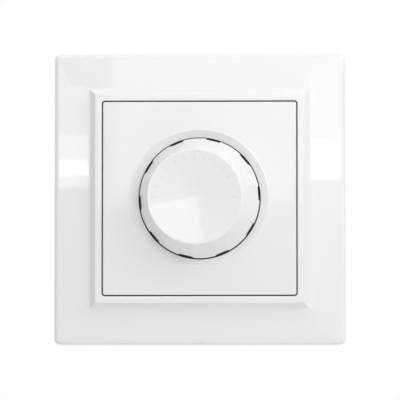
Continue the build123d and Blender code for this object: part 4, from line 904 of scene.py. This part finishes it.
# Studio, in metres: a pale floor well below, a white surround, and soft lamps

WORLD_LEVEL = 0.517


def build_floor():
    """A large pale sheet on a square grid, level, below the object."""
    half, steps, level = 6.0, 9, -0.42
    number = np.arange(steps * steps).reshape(steps, steps)
    x, y = np.meshgrid(np.linspace(-half, half, steps), np.linspace(-half, half, steps), indexing="ij")
    points = np.stack([x, y, np.full_like(x, level)], -1).reshape(-1, 3)
    cells = np.stack([number[:-1, :-1], number[1:, :-1], number[1:, 1:], number[:-1, 1:]], -1).reshape(-1, 4)
    mesh = bpy.data.meshes.new("studio_floor")
    mesh.from_pydata(points.tolist(), [], cells.tolist())
    finish = Finish("floor_pale")
    cloud = finish.noise(3.0, 2.0)
    seen = finish.node("ShaderNodeLightPath", output="Is Camera Ray").larger(
        finish.node("ShaderNodeLightPath", output="Is Glossy Ray")
    )
    mesh.materials.append(finish.close(
        Base_Color=finish.blend((0.86, 0.86, 0.86), (0.9, 0.9, 0.9), cloud), Roughness=0.9,
        Emission_Color=finish.blend((0, 0, 0), (0.42, 0.42, 0.42), seen), Emission_Strength=1.0,
    ))
    floor = bpy.data.objects.new("studio_floor", mesh)
    bpy.context.scene.collection.objects.link(floor)


def build_surround():
    """White behind the object for the camera, for gloss and for glass, and a plain grey level of
    light for everything else."""
    world = bpy.data.worlds.new("studio")
    bpy.context.scene.world = world
    world.use_nodes = True
    nodes = Nodes(world.node_tree)
    seen = nodes.node("ShaderNodeLightPath", output="Is Camera Ray")
    for ray in ("Is Glossy Ray", "Is Transmission Ray"):
        seen = seen.larger(nodes.node("ShaderNodeLightPath", output=ray))
    strength = nodes.node("ShaderNodeMapRange", {}, {"Value": seen, "To Min": WORLD_LEVEL, "To Max": 1.0})
    background = nodes.node("ShaderNodeBackground", {}, {"Color": (1, 1, 1, 1), "Strength": strength})
    nodes.node("ShaderNodeOutputWorld", {}, {"Surface": background})


def build_lamp(name, place, size, radiance, target=(0, 0, 0)):
    """A rectangular lamp turned to its target. Its power is radiance x pi x area."""
    lamp = bpy.data.lights.new(name, "AREA")
    lamp.shape = "RECTANGLE"
    lamp.size, lamp.size_y = size
    lamp.energy = radiance * math.pi * size[0] * size[1]
    holder = bpy.data.objects.new(name, lamp)
    bpy.context.scene.collection.objects.link(holder)
    holder.location = place
    holder.rotation_euler = (Vector(target) - Vector(place)).to_track_quat("-Z", "Y").to_euler()
    holder.visible_camera = False
    return holder


def build_panel(name, low, high, plane, radiance):
    """An upright lamp facing the wall, from its low to its high corner, in a plane in front of it.
    No two share a plane where they overlap, because gloss then counts only one of them."""
    middle = ((low[0] + high[0]) / 2, -plane, (low[1] + high[1]) / 2)
    return build_lamp(name, middle, (high[0] - low[0], high[1] - low[1]), radiance, (middle[0], 0, middle[2]))


build_floor()
build_surround()
build_panel("main_panel", (-0.045, 0.0295), (0.065, 0.30), 0.500, 1.6)
build_panel("right_panel", (0.066, 0.0215), (0.115, 0.0389), 0.240, 1.4)
build_panel("bright_panel", (0.065, 0.0605), (0.36, 0.36), 0.504, 2.0)
build_panel("right_band", (0.066, 0.0215), (0.115, 0.0365), 0.244, 1.8)
build_panel("left_panel", (-0.125, 0.0199), (-0.0835, 0.078), 0.240, 1.6)
build_panel("left_band", (-0.125, 0.0190), (-0.0835, 0.0378), 0.244, 1.6)
build_panel("left_core", (-0.125, 0.0242), (-0.0835, 0.0294), 0.248, 3.4)
build_lamp("side_softbox", (0.36, -0.24, 0.28), (0.3, 0.3), 2.45)
build_lamp("top_softbox", (-0.08, -0.18, 0.38), (0.3, 0.25), 1.2)
build_lamp("low_fill", (0.10, -0.16, -0.36), (0.3, 0.2), 1.25)
build_lamp("back_fill", (-0.55, 0.85, 0.45), (0.8, 0.8), 1.1)

# Camera: a little below the knob's axis and a little to its right
AZIMUTH, ELEVATION, DISTANCE = math.radians(1.3), math.radians(-3.7), 1.3
VIEW_WIDTH = 0.11245
AIM = Vector((0.00006, -0.006, -0.00030))
away = Vector((
    math.sin(AZIMUTH) * math.cos(ELEVATION), -math.cos(AZIMUTH) * math.cos(ELEVATION), math.sin(ELEVATION),
))
camera = bpy.data.cameras.new("camera")
camera.sensor_width = 36.0
camera.lens = camera.sensor_width * DISTANCE / VIEW_WIDTH
camera.clip_start, camera.clip_end = 0.01, 50.0
viewer = bpy.data.objects.new("camera", camera)
bpy.context.scene.collection.objects.link(viewer)
viewer.location = AIM + away * DISTANCE
viewer.rotation_euler = (-away).to_track_quat("-Z", "Y").to_euler()
bpy.context.scene.camera = viewer
bpy.context.scene.view_settings.view_transform = "Standard"
